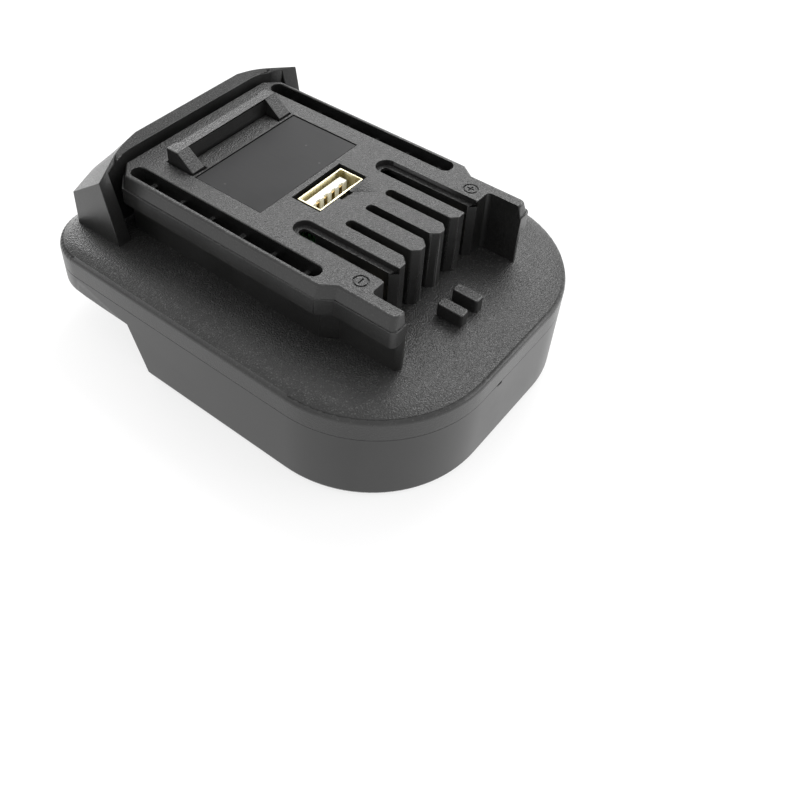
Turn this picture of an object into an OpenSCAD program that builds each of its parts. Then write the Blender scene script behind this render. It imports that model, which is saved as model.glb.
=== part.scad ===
// Slide-on battery adapter: a two-part case with a raised rail plate, a sprung
// release latch, spring contacts, a charging port and a socket for the donor pack.
// Millimetres. +Z is up, -Y is the contact end, +Y the latch end.

/* [Base] */
// Width across the case
base_w = 73; // [72:0.5:86]
// Length of the case from front to rear
base_l = 92.4; // [91:0.2:104]
// Corner radius at the front
front_r = 25.5; // [18:0.5:28]
// Corner radius at the rear
rear_r = 11; // [8:0.5:14]
// Wall of both case halves
wall = 2.2; // [1.8:0.1:2.6]
// Height of the lower shell up to the parting line
lower_h = 16; // [15:0.5:22]
// Height of the cover's upright side
skirt_h = 4.7; // [4.2:0.1:7]
// Fall of the sloped band round the shelf
band_fall = 1.3; // [0.8:0.1:1.8]
// Width of the sloped band at the sides and rear
band_side = 2.4; // [1.6:0.1:4]
// Width of the sloped band at the front
band_front = 8; // [4:0.5:9]
// Thickness of the shelf
shelf_t = 2; // [1.8:0.1:2.4]
// Height of the locating lip inside the parting line
lip_h = 1.4; // [1:0.1:2]
// Thickness of the locating lip
lip_t = 1; // [0.8:0.1:1.2]
// Middle of the case to the small nick in the front of the parting line
nick_x = -5.4; // [-8:0.1:8]
// Width of the nick
nick_w = 1.5; // [1:0.1:3]
// Height of the nick
nick_h = 0.6; // [0.4:0.1:1]
// Depth of the nick
nick_d = 0.8; // [0.5:0.1:1]

/* [Tail] */
// Depth of the lower shell behind the step
tail_h = 4.2; // [3.8:0.1:5.5]
// Length of the raised tail, from the foot of the step to the rear
tail_l = 29.6; // [28:0.2:32]
// Run of the sloped step
step_run = 4.3; // [2:0.1:5]
// Thickness of the lower shell's floors
floor_t = 2; // [1.6:0.1:2.4]

/* [Donor socket] */
// Width inside the socket
socket_w = 46; // [42:0.5:46.5]
// Height of the socket's roof
socket_h = 9.6; // [9:0.1:10]
// Wall in front of the socket, measured from the front of the case
socket_front = 15; // [13:0.5:17]
// Height of the socket's two rails
socket_rail_h = 3.4; // [3:0.1:3.6]
// Reach of the socket's rails
socket_rail_in = 3.5; // [2.5:0.1:4]
// Length of the catch recess in each socket wall
catch_l = 7; // [5:0.5:9]
// Depth of the catch recess
catch_d = 1.2; // [0.8:0.1:1.4]
// Step to the catch recess
catch_in = 14; // [12:0.5:16]

/* [Rail plate] */
// Height of the plate's top above the shelf
rail_h = 13.5; // [13:0.1:15]
// Width of the plate's top
plate_w = 45.8; // [45:0.1:47]
// Height of the plate's upper band
band_t = 2.6; // [2:0.1:3.2]
// Height of the flange under the band
flange_t = 3.6; // [3:0.1:4]
// Reach of the flange past the band
flange_out = 1.2; // [0.6:0.1:1.6]
// Width of the web under the flange
web_w = 44.4; // [43.6:0.1:45]
// Ledge left between the band's slope and the flange
ledge_w = 0.3; // [0.2:0.05:0.5]
// Front of the case to the contact fingers
tip_in = 20.8; // [20:0.1:22]
// Contact fingers to the front of the narrow neck's taper
neck_l = 5.4; // [4:0.1:6.5]
// Length of the taper
taper_l = 2.9; // [2:0.1:3.5]
// Narrowing of each side at the neck
neck_in = 2; // [1.2:0.1:2.4]
// Length of the two wings past the fingers
wing_l = 7.8; // [5:0.1:9]
// Thickness of a wing at its top
wing_t = 2.3; // [1.8:0.1:2.8]
// Radius of a wing's outer front corner
wing_r = 1.2; // [0.8:0.1:1.4]
// Radius between a wing and the fingers
wing_fillet = 1; // [0.6:0.1:1.4]
// Lean of the band at a wing's front end
wing_lean = 0.4; // [0.2:0.1:0.8]
// Chamfer of the plate's rear corners
plate_cham = 3; // [2:0.1:3.6]
// Thickness of the plate's skin
skin_t = 2; // [1.6:0.1:2.2]

/* [Rail grooves] */
// Width of a groove
groove_w = 3.3; // [2.8:0.1:3.4]
// Outer lip beside a groove
groove_lip = 0.75; // [0.6:0.05:0.9]
// Contact fingers to the front of a groove
groove_in = 9.7; // [9.2:0.1:11]
// Rear end of a groove to the rear of the plate
groove_rear = 2.9; // [2.4:0.1:3.4]
// Wall between a groove and the hollow under the plate
groove_wall = 1.5; // [1.2:0.1:1.8]
// Depth of a groove
groove_d = 5; // [3.5:0.1:5.4]
// Cross ribs in a groove
rib_n = 6; // [2:1:6]
// Spacing of the cross ribs
rib_pitch = 7.9; // [6:0.1:8]
// Front of a groove to its first rib
rib_in = 3.4; // [2:0.1:4]
// Thickness of a rib
rib_t = 0.9; // [0.6:0.1:1.2]
// Height of a rib
rib_h = 2.4; // [1:0.1:2.8]

/* [Contact slots] */
// Width of a slot
slot_w = 2.06; // [1.8:0.02:2.3]
// Spacing of the three middle slots
slot_pitch = 6.15; // [5.9:0.05:6.2]
// Length of the three middle slots
slot_l = 15.2; // [14.8:0.1:16]
// Middle of the case to an outer slot
outer_x = 12.6; // [12.4:0.1:12.8]
// Length of an outer slot
outer_l = 21.2; // [20:0.1:21.6]
// Width of the stepped rim of an outer slot
rim_w = 4.4; // [3.6:0.1:4.6]
// Length of the stepped rim past the slot
rim_more = 1; // [0.6:0.1:1.2]
// Depth of the stepped rim
rim_d = 1.2; // [0.6:0.1:1.6]
// Flare at the finger tips
tip_cham = 1.3; // [0.8:0.1:1.5]

/* [Contacts] */
// Thickness of the contact strip
leaf_t = 0.6; // [0.4:0.05:0.7]
// Width over a contact's two leaves
clip_w = 3; // [2.6:0.1:3.2]
// Height of a contact
clip_h = 8.4; // [7:0.1:8.8]
// Contact fingers to the front of a power contact
power_in = 3.7; // [3.4:0.1:4.2]
// Contact fingers to the front of a signal contact
signal_in = 5.6; // [5:0.1:6]
// Contact fingers to the rear of every contact
clip_rear = 13.6; // [13:0.1:14]
// Gap between the leaves where they pinch
pinch_gap = 0.5; // [0.3:0.05:0.7]
// Width of a solder tail
tail_w = 1.2; // [1:0.1:1.6]
// Solder tail below the board
tail_out = 1; // [0.6:0.1:1.4]
// Thickness of the contact carrier
carrier_t = 2.4; // [2:0.1:2.6]

/* [Marks and bumps] */
// Middle of the case to a polarity mark
mark_x = 17.3; // [17:0.1:17.6]
// Contact fingers to a polarity mark
mark_in = 3.2; // [2.6:0.1:3.8]
// Radius of a polarity mark
mark_r = 1.55; // [1.2:0.05:1.7]
// Line width of a polarity mark
mark_line = 0.35; // [0.25:0.05:0.45]
// Depth of a polarity mark
mark_d = 0.25; // [0.15:0.05:0.4]
// Middle of the case to a locating bump
bump_x = 2.55; // [2:0.05:4]
// Width of a bump
bump_w = 2.4; // [1.6:0.1:2.8]
// Length of a bump
bump_l = 5.7; // [4:0.1:6]
// Height of a bump
bump_h = 3; // [2:0.1:3.6]
// Front of the case to a bump
bump_in = 10.6; // [10:0.1:11]
// Corner radius of a bump
bump_r = 0.6; // [0.3:0.05:0.75]

/* [Label] */
// Width of the label recess
label_w = 29.3; // [26:0.1:30]
// Label recess to the front of the latch
label_rear = 0.8; // [0.7:0.1:4]
// Contact fingers to the label recess
label_in = 29.1; // [28.8:0.1:29.2]
// Depth of the label recess
label_d = 0.4; // [0.3:0.05:0.5]
// Thickness of the label
label_t = 0.25; // [0.15:0.05:0.3]
// Gap round the label
label_gap = 0.2; // [0.1:0.05:0.3]

/* [Charging port] */
// Width of the port's metal shell
port_w = 13.1; // [12.6:0.1:13.4]
// Depth of the port's metal shell
port_d = 5.7; // [5.4:0.1:5.9]
// Thickness of the shell
port_t = 0.35; // [0.3:0.05:0.45]
// Contact fingers to the middle of the port
port_in = 24.1; // [23.8:0.1:24.4]
// Port's mouth below the plate's top
port_drop = 0.3; // [0.2:0.1:0.6]
// Gap between the port and its window at the sides
port_gap = 0.7; // [0.4:0.1:0.9]
// Gap behind the port in its window
port_back = 0.9; // [0.5:0.1:1]
// Gap in front of the port in its window
port_front = 0.4; // [0.3:0.1:0.6]
// Width of the small notch in front of the port
port_notch = 3.2; // [2:0.1:4]
// Thickness of the port's tongue
tongue_t = 1.8; // [1.5:0.1:2]
// Tongue's end below the port's mouth
tongue_drop = 1; // [0.6:0.1:1.6]
// Thickness of the insulating base in the port
port_base = 3; // [2:0.1:4]
// Gap between the tongue and the port's rear wall
tongue_back = 0.4; // [0.3:0.1:0.6]
// Gap between the tongue and the port's side walls
tongue_side = 0.8; // [0.6:0.1:1.2]
// Spacing of the port's contacts
pin_pitch = 2.3; // [2:0.1:2.5]
// Width of a port contact
pin_w = 1; // [0.8:0.1:1.2]
// Thickness of a port contact
pin_t = 0.25; // [0.2:0.05:0.3]
// Depth of a port contact below the tongue's face
pin_sunk = 0.1; // [0.05:0.05:0.15]
// Port contact's end below the tongue's end, and its tail below the board
pin_end = 0.6; // [0.4:0.1:1]

/* [Hood] */
// Rear of the case to the hood's front face
hood_in = 10.6; // [10.4:0.1:11]
// Groove between the plate and the hood
hood_groove = 0.7; // [0.5:0.1:1]
// Height of the ridge above the plate
hood_rise = 3.5; // [3.4:0.1:4]
// Height of the front lip above the plate
lip_rise = 1.7; // [1.3:0.1:2]
// Front face to the ridge
ridge_in = 1.4; // [1.1:0.1:1.5]
// Front face to the rear edge of the slope
slope_in = 8.9; // [8.6:0.1:9]
// Rear edge of the slope below the plate's top
slope_drop = 4.9; // [4.4:0.1:5.2]
// Lean of the rear wall
rear_lean = 0.3; // [0.1:0.1:0.4]
// Wall of the hood
hood_wall = 1.6; // [1.4:0.1:1.7]
// Middle of the case to the knee of the ridge
knee_x = 20; // [19:0.1:21]
// Fall of the ridge from the button to the knee
knee_fall = 0.8; // [0:0.1:1.2]
// Reach of the knee in front of the ridge
knee_in = 0.6; // [0:0.1:0.9]
// Half length of the knee's bend
knee_bend = 3; // [2:0.1:4]
// Middle of the case to the outer face of a side leg
leg_x = 28.7; // [28.4:0.1:29.4]
// Width of a side leg
leg_w = 3.3; // [2.6:0.1:3.4]
// Reach of a leg's top in front of the hood
leg_top = 3.3; // [2.4:0.1:3.6]
// Reach of a leg's foot in front of the hood
leg_foot = 6.2; // [4.5:0.1:7]
// Height of a leg's front corner above the plate
leg_rise = 0.6; // [0.4:0.1:1.2]
// Height of the front facet where it ends at a leg's corner
leg_facet = 0.3; // [0.2:0.05:0.5]
// Rear top corner of a leg in front of the slope's rear edge
leg_back_in = 2.8; // [2.2:0.1:3.2]
// Rear top corner of a leg below the slope's rear edge
leg_back_drop = 0.7; // [0.4:0.1:1.2]

/* [Latch] */
// Width of the tooth
tooth_w = 28.8; // [27.6:0.1:29]
// Height of the tooth above the plate
tooth_h = 3.3; // [2.6:0.1:3.4]
// Thickness of the tooth's bar
bar_t = 2.9; // [2.4:0.1:3.2]
// Rear of the plate to the tooth's locking face
bar_in = 6.3; // [6:0.1:6.5]
// Width of a ramp at the tooth's end
ramp_w = 3.3; // [2.6:0.1:3.6]
// Length of a ramp
ramp_l = 4; // [3:0.1:4.2]
// Height of a ramp's foot above the plate
ramp_foot = 0.4; // [0.2:0.1:0.8]
// Width of the button
button_w = 27.4; // [25:0.1:27.6]
// Height of the button's rear face
button_h = 2.5; // [2:0.1:2.8]
// Width of the finger dip
dip_w = 23.4; // [18:0.1:24]
// Depth of the finger dip
dip_d = 0.7; // [0.4:0.1:0.9]
// Slope's rear edge to the front of the finger dip
dip_in = 4.7; // [4.2:0.1:4.9]
// Slope's rear edge to the rear of the finger dip
dip_rear = 0.8; // [0.5:0.1:1.2]
// Depth of the shallow hollow along the rear of the tooth
bar_hollow = 0.4; // [0.2:0.1:0.6]
// Length of the tooth's thick ends
bar_end = 2.8; // [2:0.1:3.4]
// Bridge's top below the plate's top
bridge_drop = 9; // [8.6:0.1:9.2]
// Wall of the latch's bay
bay_wall = 1.2; // [1:0.1:1.4]
// Ridge to the front of the button
button_land = 0.6; // [0.5:0.1:0.9]
// Travel of the latch
stroke = 4; // [3.6:0.1:4.2]
// Thickness of the latch's bridge
bridge_t = 2.5; // [2:0.1:3]
// Clearance round the latch
slide_gap = 0.3; // [0.2:0.05:0.35]

/* [Springs] */
// Outer diameter of a latch spring
spring_d = 5; // [4.4:0.1:5.6]
// Wire diameter of a latch spring
wire_d = 0.6; // [0.4:0.05:0.7]
// Turns of a latch spring
spring_turns = 6; // [4:1:7]
// Middle of the latch's rear bay to a spring
spring_back = 1.6; // [1:0.1:2]
// Middle of the case to a spring
spring_x = 8; // [6:0.1:9]
// Radius of the spring posts
post_r = 1.5; // [1:0.05:1.6]
// Height of the lower spring posts
post_h = 3; // [2:0.1:3.4]

/* [Board] */
// Width of the circuit board
board_w = 42.6; // [42:0.1:43]
// Contact fingers to the front of the board
board_in = 1.5; // [1:0.1:2]
// Rear of the board to the latch's bay
board_rear = 2.1; // [1.6:0.1:3]
// Thickness of the board
board_t = 1.6; // [1.2:0.1:2]
// Middle of the case to a board screw
board_screw_x = 19; // [18.8:0.1:19.2]
// Contact fingers to the front board screws
board_screw_in = 12; // [11:0.1:13]
// Rear of the board to the rear board screws
board_screw_rear = 5.5; // [4:0.1:7]
// Radius of a board screw's thread
board_screw_r = 0.75; // [0.6:0.05:0.8]
// Thread of a board screw above the board
board_screw_l = 5; // [4:0.1:6]

/* [Components] */
// Radius of a can capacitor
can_r = 3.15; // [2.5:0.05:3.15]
// Height of a can capacitor
can_h = 7.5; // [5:0.1:8]
// Gap between the can capacitors
can_gap = 0.9; // [0.5:0.1:1.2]
// Radius of the choke's core
choke_r = 3.2; // [2.5:0.1:3.4]
// Height of the choke
choke_h = 4.2; // [3:0.1:6]
// Thickness of the choke's foot
choke_foot = 1; // [0.6:0.1:1.4]
// Width of the converter chip
chip_w = 5; // [4:0.1:6]
// Length of the converter chip
chip_l = 4; // [3:0.1:5]
// Height of the converter chip
chip_h = 1.5; // [1:0.1:1.8]
// Width of a chip resistor
res_w = 2; // [1.6:0.1:2.4]
// Length of a chip resistor
res_l = 1.2; // [0.8:0.1:1.6]
// Height of a chip resistor
res_h = 0.5; // [0.4:0.05:0.7]
// Spacing of the chip resistors
res_pitch = 4; // [3:0.1:4.5]

/* [Case screws] */
// Radius of a case screw's thread
screw_r = 1.45; // [1.2:0.05:1.6]
// Radius of a case screw's head
screw_head_r = 2.7; // [2.4:0.05:2.8]
// Height of a case screw's head
screw_head_h = 2; // [1.6:0.1:2.4]
// Depth of the head's seat in the lower shell
seat_d = 7; // [6:0.1:8]
// Clearance round threads and heads
screw_gap = 0.05; // [0.03:0.01:0.08]
// Clearance round a screw's head in its seat
head_gap = 0.2; // [0.1:0.05:0.3]
// Front of the case to the front screws
screw_front = 22; // [21:0.1:23]
// Step to the rear screws
screw_rear = 7; // [6:0.1:8]
// Radius of a screw column in the lower shell
column_r = 4.3; // [4.2:0.05:4.5]
// Radius of a screw boss in the cover
boss_r = 3.2; // [2.8:0.1:3.6]

/* [Donor contacts] */
// Thickness of a blade
blade_t = 0.8; // [0.6:0.05:1]
// Height of a blade
blade_h = 4.4; // [3.6:0.1:4.8]
// Length of a blade in the socket
blade_l = 14; // [10:0.5:16]
// Spacing of the blades
blade_pitch = 9; // [7:0.1:9.5]
// Tail of a blade in front of its block
blade_tail = 2.4; // [2:0.1:2.6]
// Width of the blade block
block_w = 25; // [24:0.1:28]
// Height of the blade block
block_h = 6; // [5.6:0.1:6.2]
// Thickness of the blade block's flange
block_lip = 1.6; // [1.2:0.1:2]
// Reach of the blade block into the socket
block_in = 5; // [3:0.1:6]
// Radius of a lead
lead_r = 0.95; // [0.6:0.05:1.1]
// Gap round pieces set in pockets
set_gap = 0.1; // [0.05:0.01:0.15]

/* [Hidden] */
$fn = 64;
eps = 0.01;
wing_steps = 6;
front_y = -base_l / 2;
rear_y = base_l / 2;
// Heights
edge_z = lower_h + skirt_h;
shelf_z = edge_z + band_fall;
ceil_z = shelf_z - shelf_t;
plate_z = shelf_z + rail_h;
ledge_z = plate_z - band_t;
flange_z = ledge_z - flange_t;
tail_z = lower_h - tail_h;
tail_floor_z = tail_z + floor_t;
// Stations along the case
step_y = rear_y - tail_l;
tip_y = front_y + tip_in;
hood_y = rear_y - hood_in;
plate_y = hood_y - hood_groove;
bar_y = plate_y - bar_in;
ramp_y = bar_y - bar_t;
socket_y = front_y + socket_front;
clip_y = tip_y + clip_rear;
port_y = tip_y + port_in;
// Rail plate
neck_w = plate_w - 2 * neck_in;
wing_x = neck_w / 2 - wing_t;
groove_x = plate_w / 2 - groove_lip - groove_w / 2;
groove_y0 = tip_y + groove_in;
groove_y1 = plate_y - groove_rear;
bay_w = 2 * (groove_x - groove_w / 2 - groove_wall);
// Latch
latch_w = tooth_w;
guide_w = tooth_w + 2 * slide_gap;
bridge_top = plate_z - bridge_drop;
bridge_z = bridge_top - bridge_t;
latch_y0 = ramp_y - ramp_l;
slope = (hood_rise + slope_drop) / (slope_in - ridge_in);
lean = rear_lean / (rail_h - slope_drop);
button_y0 = hood_y + ridge_in + button_land + slide_gap;
stem_y1 = hood_y + slope_in - hood_wall - slide_gap - lean * slope_drop;
bay_y0 = latch_y0 - slide_gap;
bay_y1 = plate_y - bay_wall;
bay_ceil = plate_z - skin_t;
spring_y = (bay_y1 + bar_y) / 2 + spring_back;
spring_l = bridge_z - tail_floor_z;
// Board and contacts
board_y0 = tip_y + board_in;
board_z = ceil_z - board_t;
clip_z = ceil_z + carrier_t;
pocket_w = clip_w + 2 * (slide_gap + set_gap);
carrier_w = 2 * outer_x + clip_w + 2 * tail_w;
carrier_y0 = tip_y + power_in - 0.8;
carrier_y1 = clip_y + 1;
port_z = plate_z - port_drop;
hall_y0 = port_y - port_d / 2 - port_front - 2.5;
hall_y1 = bay_y0 - bay_wall;
board_y1 = hall_y1 - board_rear;
board_screw_ys = [tip_y + board_screw_in, board_y1 - board_screw_rear];
part_y = (port_y + port_d / 2 + port_back + hall_y1) / 2;
label_y0 = tip_y + label_in;
label_y1 = latch_y0 - label_rear;
pin_y = port_y + port_d / 2 - port_t - set_gap - tongue_back - tongue_t;
// Case screws
boss_x = socket_w / 2 + wall + column_r - 0.3;
screw_ys = [front_y + screw_front, step_y - screw_rear];
// Donor contacts
block_z = socket_rail_h / 2 + 0.6;
block_y0 = socket_y - wall - 1;
blade_z = block_z + (block_h - blade_h) / 2;
blade_y0 = block_y0 - blade_tail;
blade_y1 = socket_y + block_in + blade_l;
black = [0.13, 0.13, 0.135];

// Outline of the case, set in by a margin
module plan(inset = 0) {
    w = base_w - 2 * inset;
    rf = front_r - inset;
    rr = rear_r - inset;
    y0 = front_y + inset;
    y1 = rear_y - inset;
    corner_plan(w, y0, y1, rf, rr);
}

// Rounded rectangle with one radius at the front and one at the rear
module corner_plan(w, y0, y1, rf, rr) {
    translate([-w / 2, y0 + rf])
        square([w, y1 - rr - y0 - rf]);
    translate([-w / 2 + rf, y0])
        square([w - 2 * rf, rf + eps]);
    translate([-w / 2 + rr, y1 - rr - eps])
        square([w - 2 * rr, rr + eps]);
    for (s = [-1, 1]) {
        translate([s * (w / 2 - rf), y0 + rf])
            circle(rf);
        translate([s * (w / 2 - rr), y1 - rr])
            circle(rr);
    }
}

// Extrudes a side view (Y, Z) across the case, centred on the middle
module across(w) {
    translate([-w / 2, 0, 0])
        rotate([90, 0, 90])
            linear_extrude(w)
                children();
}

// Box from its low corner to its high corner
module box(lo, hi) {
    translate(lo)
        cube(hi - lo);
}

// Both sides of the case
module both() {
    children();
    mirror([1, 0, 0])
        children();
}

// Slot with a round rear end, open towards the front
module open_slot(x, w, y0, y1) {
    translate([x - w / 2, y0])
        square([w, y1 - w / 2 - y0]);
    translate([x, y1 - w / 2])
        circle(w / 2);
}

// Rounded front corner of a wing, from one angle through a quarter turn
function wing_end(x, y, turn) = [
    for (i = [0 : wing_steps])
        let (a = turn + 90 * i / wing_steps)
            [x + wing_r * cos(a), y + wing_r * sin(a)]
];

// Plan of one level of the rail plate, with its neck and wings, its ends set in
function plate_pts(w, back = 0) =
    let (
        n = w / 2 - neck_in,
        y0 = tip_y - wing_l + back + wing_r,
        ya = tip_y + neck_l,
        yb = ya + taper_l,
        y1 = plate_y - min(back, ledge_w),
        c = plate_cham
    )
    concat(
        wing_end(wing_r - n, y0, 180),
        wing_end(n - wing_r, y0, 270),
        [
            [n, ya], [w / 2, yb], [w / 2, y1 - c], [w / 2 - c, y1],
            [c - w / 2, y1], [-w / 2, y1 - c], [-w / 2, yb], [-n, ya]
        ]
    );

// Solid through plans of the rail plate, from the lowest up, closed with strips from side to side
module tiers(plans, heights) {
    n = len(plans[0]);
    m = len(plans);
    points = [for (i = [0 : m - 1]) for (p = plans[i]) [p[0], p[1], heights[i]]];
    walls = [
        for (i = [0 : m - 2])
            for (j = [0 : n - 1])
                let (a = i * n + j, b = i * n + (j + 1) % n)
                    [a, a + n, b + n, b]
    ];
    left = [for (k = [0 : n / 2 - 1]) (wing_steps - k + n) % n];
    right = [for (k = [0 : n / 2 - 1]) wing_steps + 1 + k];
    top = (m - 1) * n;
    floors = [
        for (k = [0 : n / 2 - 2])
            [left[k], right[k], right[k + 1], left[k + 1]]
    ];
    roofs = [
        for (k = [0 : n / 2 - 2])
            [top + left[k + 1], top + right[k + 1], top + right[k], top + left[k]]
    ];
    polyhedron(points, concat(walls, floors, roofs));
}

// Hood point: distance behind its front face and height above the plate
function hood_pt(dy, dz) = [hood_y + dy, plate_z + dz];

// Height of the hood's slope at a distance behind the front face
function slope_z(dy) = hood_rise - slope * (dy - ridge_in);

// Height of the hood's underside, sunk in the shelf, from the plate
hood_foot = -rail_h - shelf_t / 2;

// Value across the hood: straight from the middle to the knee and on to the leg, with the knee bent
function bent(x, mid, knee, leg) =
    let (
        k = knee_x,
        w = knee_bend,
        s1 = (knee - mid) / (k - guide_w / 2),
        s2 = (leg - knee) / (leg_x - k),
        t = min(max(x - k + w, 0), 2 * w)
    )
    x > k + w ? knee + s2 * (x - k) : knee + s1 * (x - k) + (s2 - s1) * t * t / (4 * w);

// Points of the hood's side view at a place across it
function lip_pt(x) = hood_pt(bent(x, 0, 0, -leg_top), bent(x, lip_rise, lip_rise, leg_rise));
function ridge_pt(x) =
    hood_pt(bent(x, ridge_in, ridge_in - knee_in, leg_facet / 2 - leg_top),
        bent(x, hood_rise, hood_rise - knee_fall, leg_rise + leg_facet));
function back_pt(x) =
    hood_pt(bent(x, slope_in, slope_in, slope_in - leg_back_in),
        bent(x, -slope_drop, -slope_drop, -slope_drop - leg_back_drop));
function heel_pt(x) = back_pt(x) + [rear_lean, hood_foot - (back_pt(x)[1] - plate_z)];

// Side view of the hood, and of the wedge in front of it that makes a leg
function hood_side(x) = [hood_pt(0, hood_foot), lip_pt(x), ridge_pt(x), back_pt(x), heel_pt(x)];
function leg_side(x) = [
    hood_pt(-leg_foot, hood_foot), lip_pt(x), lip_pt(x) + [3, -3], hood_pt(2, hood_foot)
];

// Stations across one half of the hood
half_x = [
    guide_w / 2,
    for (i = [0 : 6]) knee_x - knee_bend + i * knee_bend / 3,
    leg_x
];
hood_x = concat([for (i = [len(half_x) - 1 : -1 : 0]) -half_x[i]], half_x);
leg_xs = [leg_x - leg_w, leg_x];

// Solid through side views that all have the same number of points
module loft(places, sides) {
    n = len(sides[0]);
    m = len(places);
    points = [for (i = [0 : m - 1]) for (p = sides[i]) [places[i], p[0], p[1]]];
    walls = [
        for (i = [0 : m - 2])
            for (j = [0 : n - 1])
                for (half = [0, 1])
                    let (a = i * n + j, b = i * n + (j + 1) % n)
                        half == 0 ? [b + n, a + n, a] : [b, b + n, a]
    ];
    first = [for (j = [n - 1 : -1 : 0]) j];
    last = [for (j = [0 : n - 1]) (m - 1) * n + j];
    polyhedron(points, concat(walls, [first, last]));
}

// Hood with its two side legs
module hood_body() {
    loft(hood_x, [for (x = hood_x) hood_side(abs(x))]);
    both()
        loft(leg_xs, [for (x = leg_xs) leg_side(x)]);
}

// Rail plate: web, flange and sloped upper band, cut open between the wings
module plate_body() {
    flange_w = plate_w + 2 * flange_out;
    difference() {
        union() {
            translate([0, 0, ceil_z])
                linear_extrude(flange_z + flange_t / 2 - ceil_z)
                    polygon(plate_pts(web_w));
            tiers([
                plate_pts(flange_w), plate_pts(flange_w),
                plate_pts(flange_w - 2 * ledge_w, ledge_w), plate_pts(plate_w, ledge_w + wing_lean)
            ], [flange_z, ledge_z, ledge_z, plate_z]);
        }
        translate([0, 0, shelf_z])
            linear_extrude(rail_h + 1)
                corner_plan(2 * wing_x, tip_y - wing_l - 3, tip_y, 1, wing_fillet);
    }
}

// Bump that stands on the shelf, with rounded corners
module bump(x) {
    y0 = front_y + bump_in;
    translate([x, 0, ceil_z])
        linear_extrude(shelf_t + bump_h)
            corner_plan(bump_w, y0, y0 + bump_l, bump_r, bump_r);
}

// Groove along one side of the plate, with its cross ribs left standing
module rail_groove(s) {
    r = groove_w / 2;
    difference() {
        translate([0, 0, plate_z - groove_d])
            linear_extrude(groove_d + 1) {
                translate([s * groove_x - r, groove_y0 + r])
                    square([groove_w, groove_y1 - groove_y0 - groove_w]);
                translate([s * groove_x, groove_y0 + r])
                    circle(r);
                translate([s * groove_x, groove_y1 - r])
                    circle(r);
            }
        for (i = [0 : rib_n - 1]) {
            y = groove_y0 + rib_in + i * rib_pitch;
            box([s * groove_x - r - 1, y, plate_z - groove_d - 1],
                [s * groove_x + r + 1, y + rib_t, plate_z - groove_d + rib_h]);
        }
    }
}

// Cuts of one contact slot, with the flare at the finger tips
module contact_slot(x, l) {
    f = tip_cham;
    translate([0, 0, shelf_z])
        linear_extrude(rail_h + 1) {
            open_slot(x, slot_w, tip_y - 1, tip_y + l);
            polygon([
                [x - slot_w / 2 - f, tip_y - eps], [x + slot_w / 2 + f, tip_y - eps],
                [x + slot_w / 2, tip_y + f], [x - slot_w / 2, tip_y + f]
            ]);
        }
}

// Stepped rim of an outer slot
module slot_rim(x) {
    translate([0, 0, plate_z - rim_d])
        linear_extrude(rim_d + 1)
            open_slot(x, rim_w, tip_y - 1, tip_y + outer_l + rim_more);
}

// Pocket for one contact, open to the board
module clip_pocket(x, y_in) {
    box([x - pocket_w / 2, tip_y + y_in - slide_gap, ceil_z - 1],
        [x + pocket_w / 2, clip_y + slide_gap, clip_z + clip_h + slide_gap]);
}

// Ring and bar of a polarity mark
module polarity_mark(x, plus) {
    translate([x, tip_y + mark_in, plate_z - mark_d])
        linear_extrude(mark_d + 1) {
            difference() {
                circle(mark_r);
                circle(mark_r - mark_line);
            }
            square([mark_r, mark_line], center = true);
            if (plus)
                square([mark_line, mark_r], center = true);
        }
}

// Opening in the plate for the latch's tooth
module tooth_window() {
    g = slide_gap;
    box([-guide_w / 2, ramp_y - g, bay_ceil - 1], [guide_w / 2, bar_y + g, plate_z + 1]);
    both()
        box([tooth_w / 2 - ramp_w - g, latch_y0 - g, bay_ceil - 1],
            [guide_w / 2, ramp_y, plate_z + 1]);
}

// Hollow under the hood, with the mouth for the button
module hood_hollow() {
    t = hood_wall;
    low = ceil_z - plate_z - 1;
    across(guide_w + 2)
        polygon([
            hood_pt(t, low),
            hood_pt(t, slope_z(ridge_in) - 2 * t),
            hood_pt(ridge_in + t, slope_z(ridge_in + t) - t),
            hood_pt(slope_in - t, slope_z(slope_in - t) - t),
            hood_pt(slope_in - t - lean * slope_drop, -slope_drop - t),
            hood_pt(slope_in - t - lean * slope_drop, low)
        ]);
    b = button_w + 2 * slide_gap;
    y = button_y0 - slide_gap - hood_y;
    across(b)
        polygon([
            hood_pt(y, slope_z(ridge_in + t) - 2 * t),
            hood_pt(y, hood_rise + 1),
            hood_pt(slope_in + 5, hood_rise + 1),
            hood_pt(slope_in + 5, -slope_drop - button_h - stroke - slide_gap),
            hood_pt(slope_in - t - 1, -slope_drop - button_h - stroke - slide_gap)
        ]);
}

// Screw boss under the cover's shelf
module cover_boss(x, y) {
    difference() {
        translate([x, y, lower_h])
            cylinder(r = boss_r, h = ceil_z - lower_h + eps);
        translate([x, y, lower_h - 1])
            cylinder(r = screw_r + screw_gap, h = ceil_z - lower_h + 1.8);
    }
}

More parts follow.
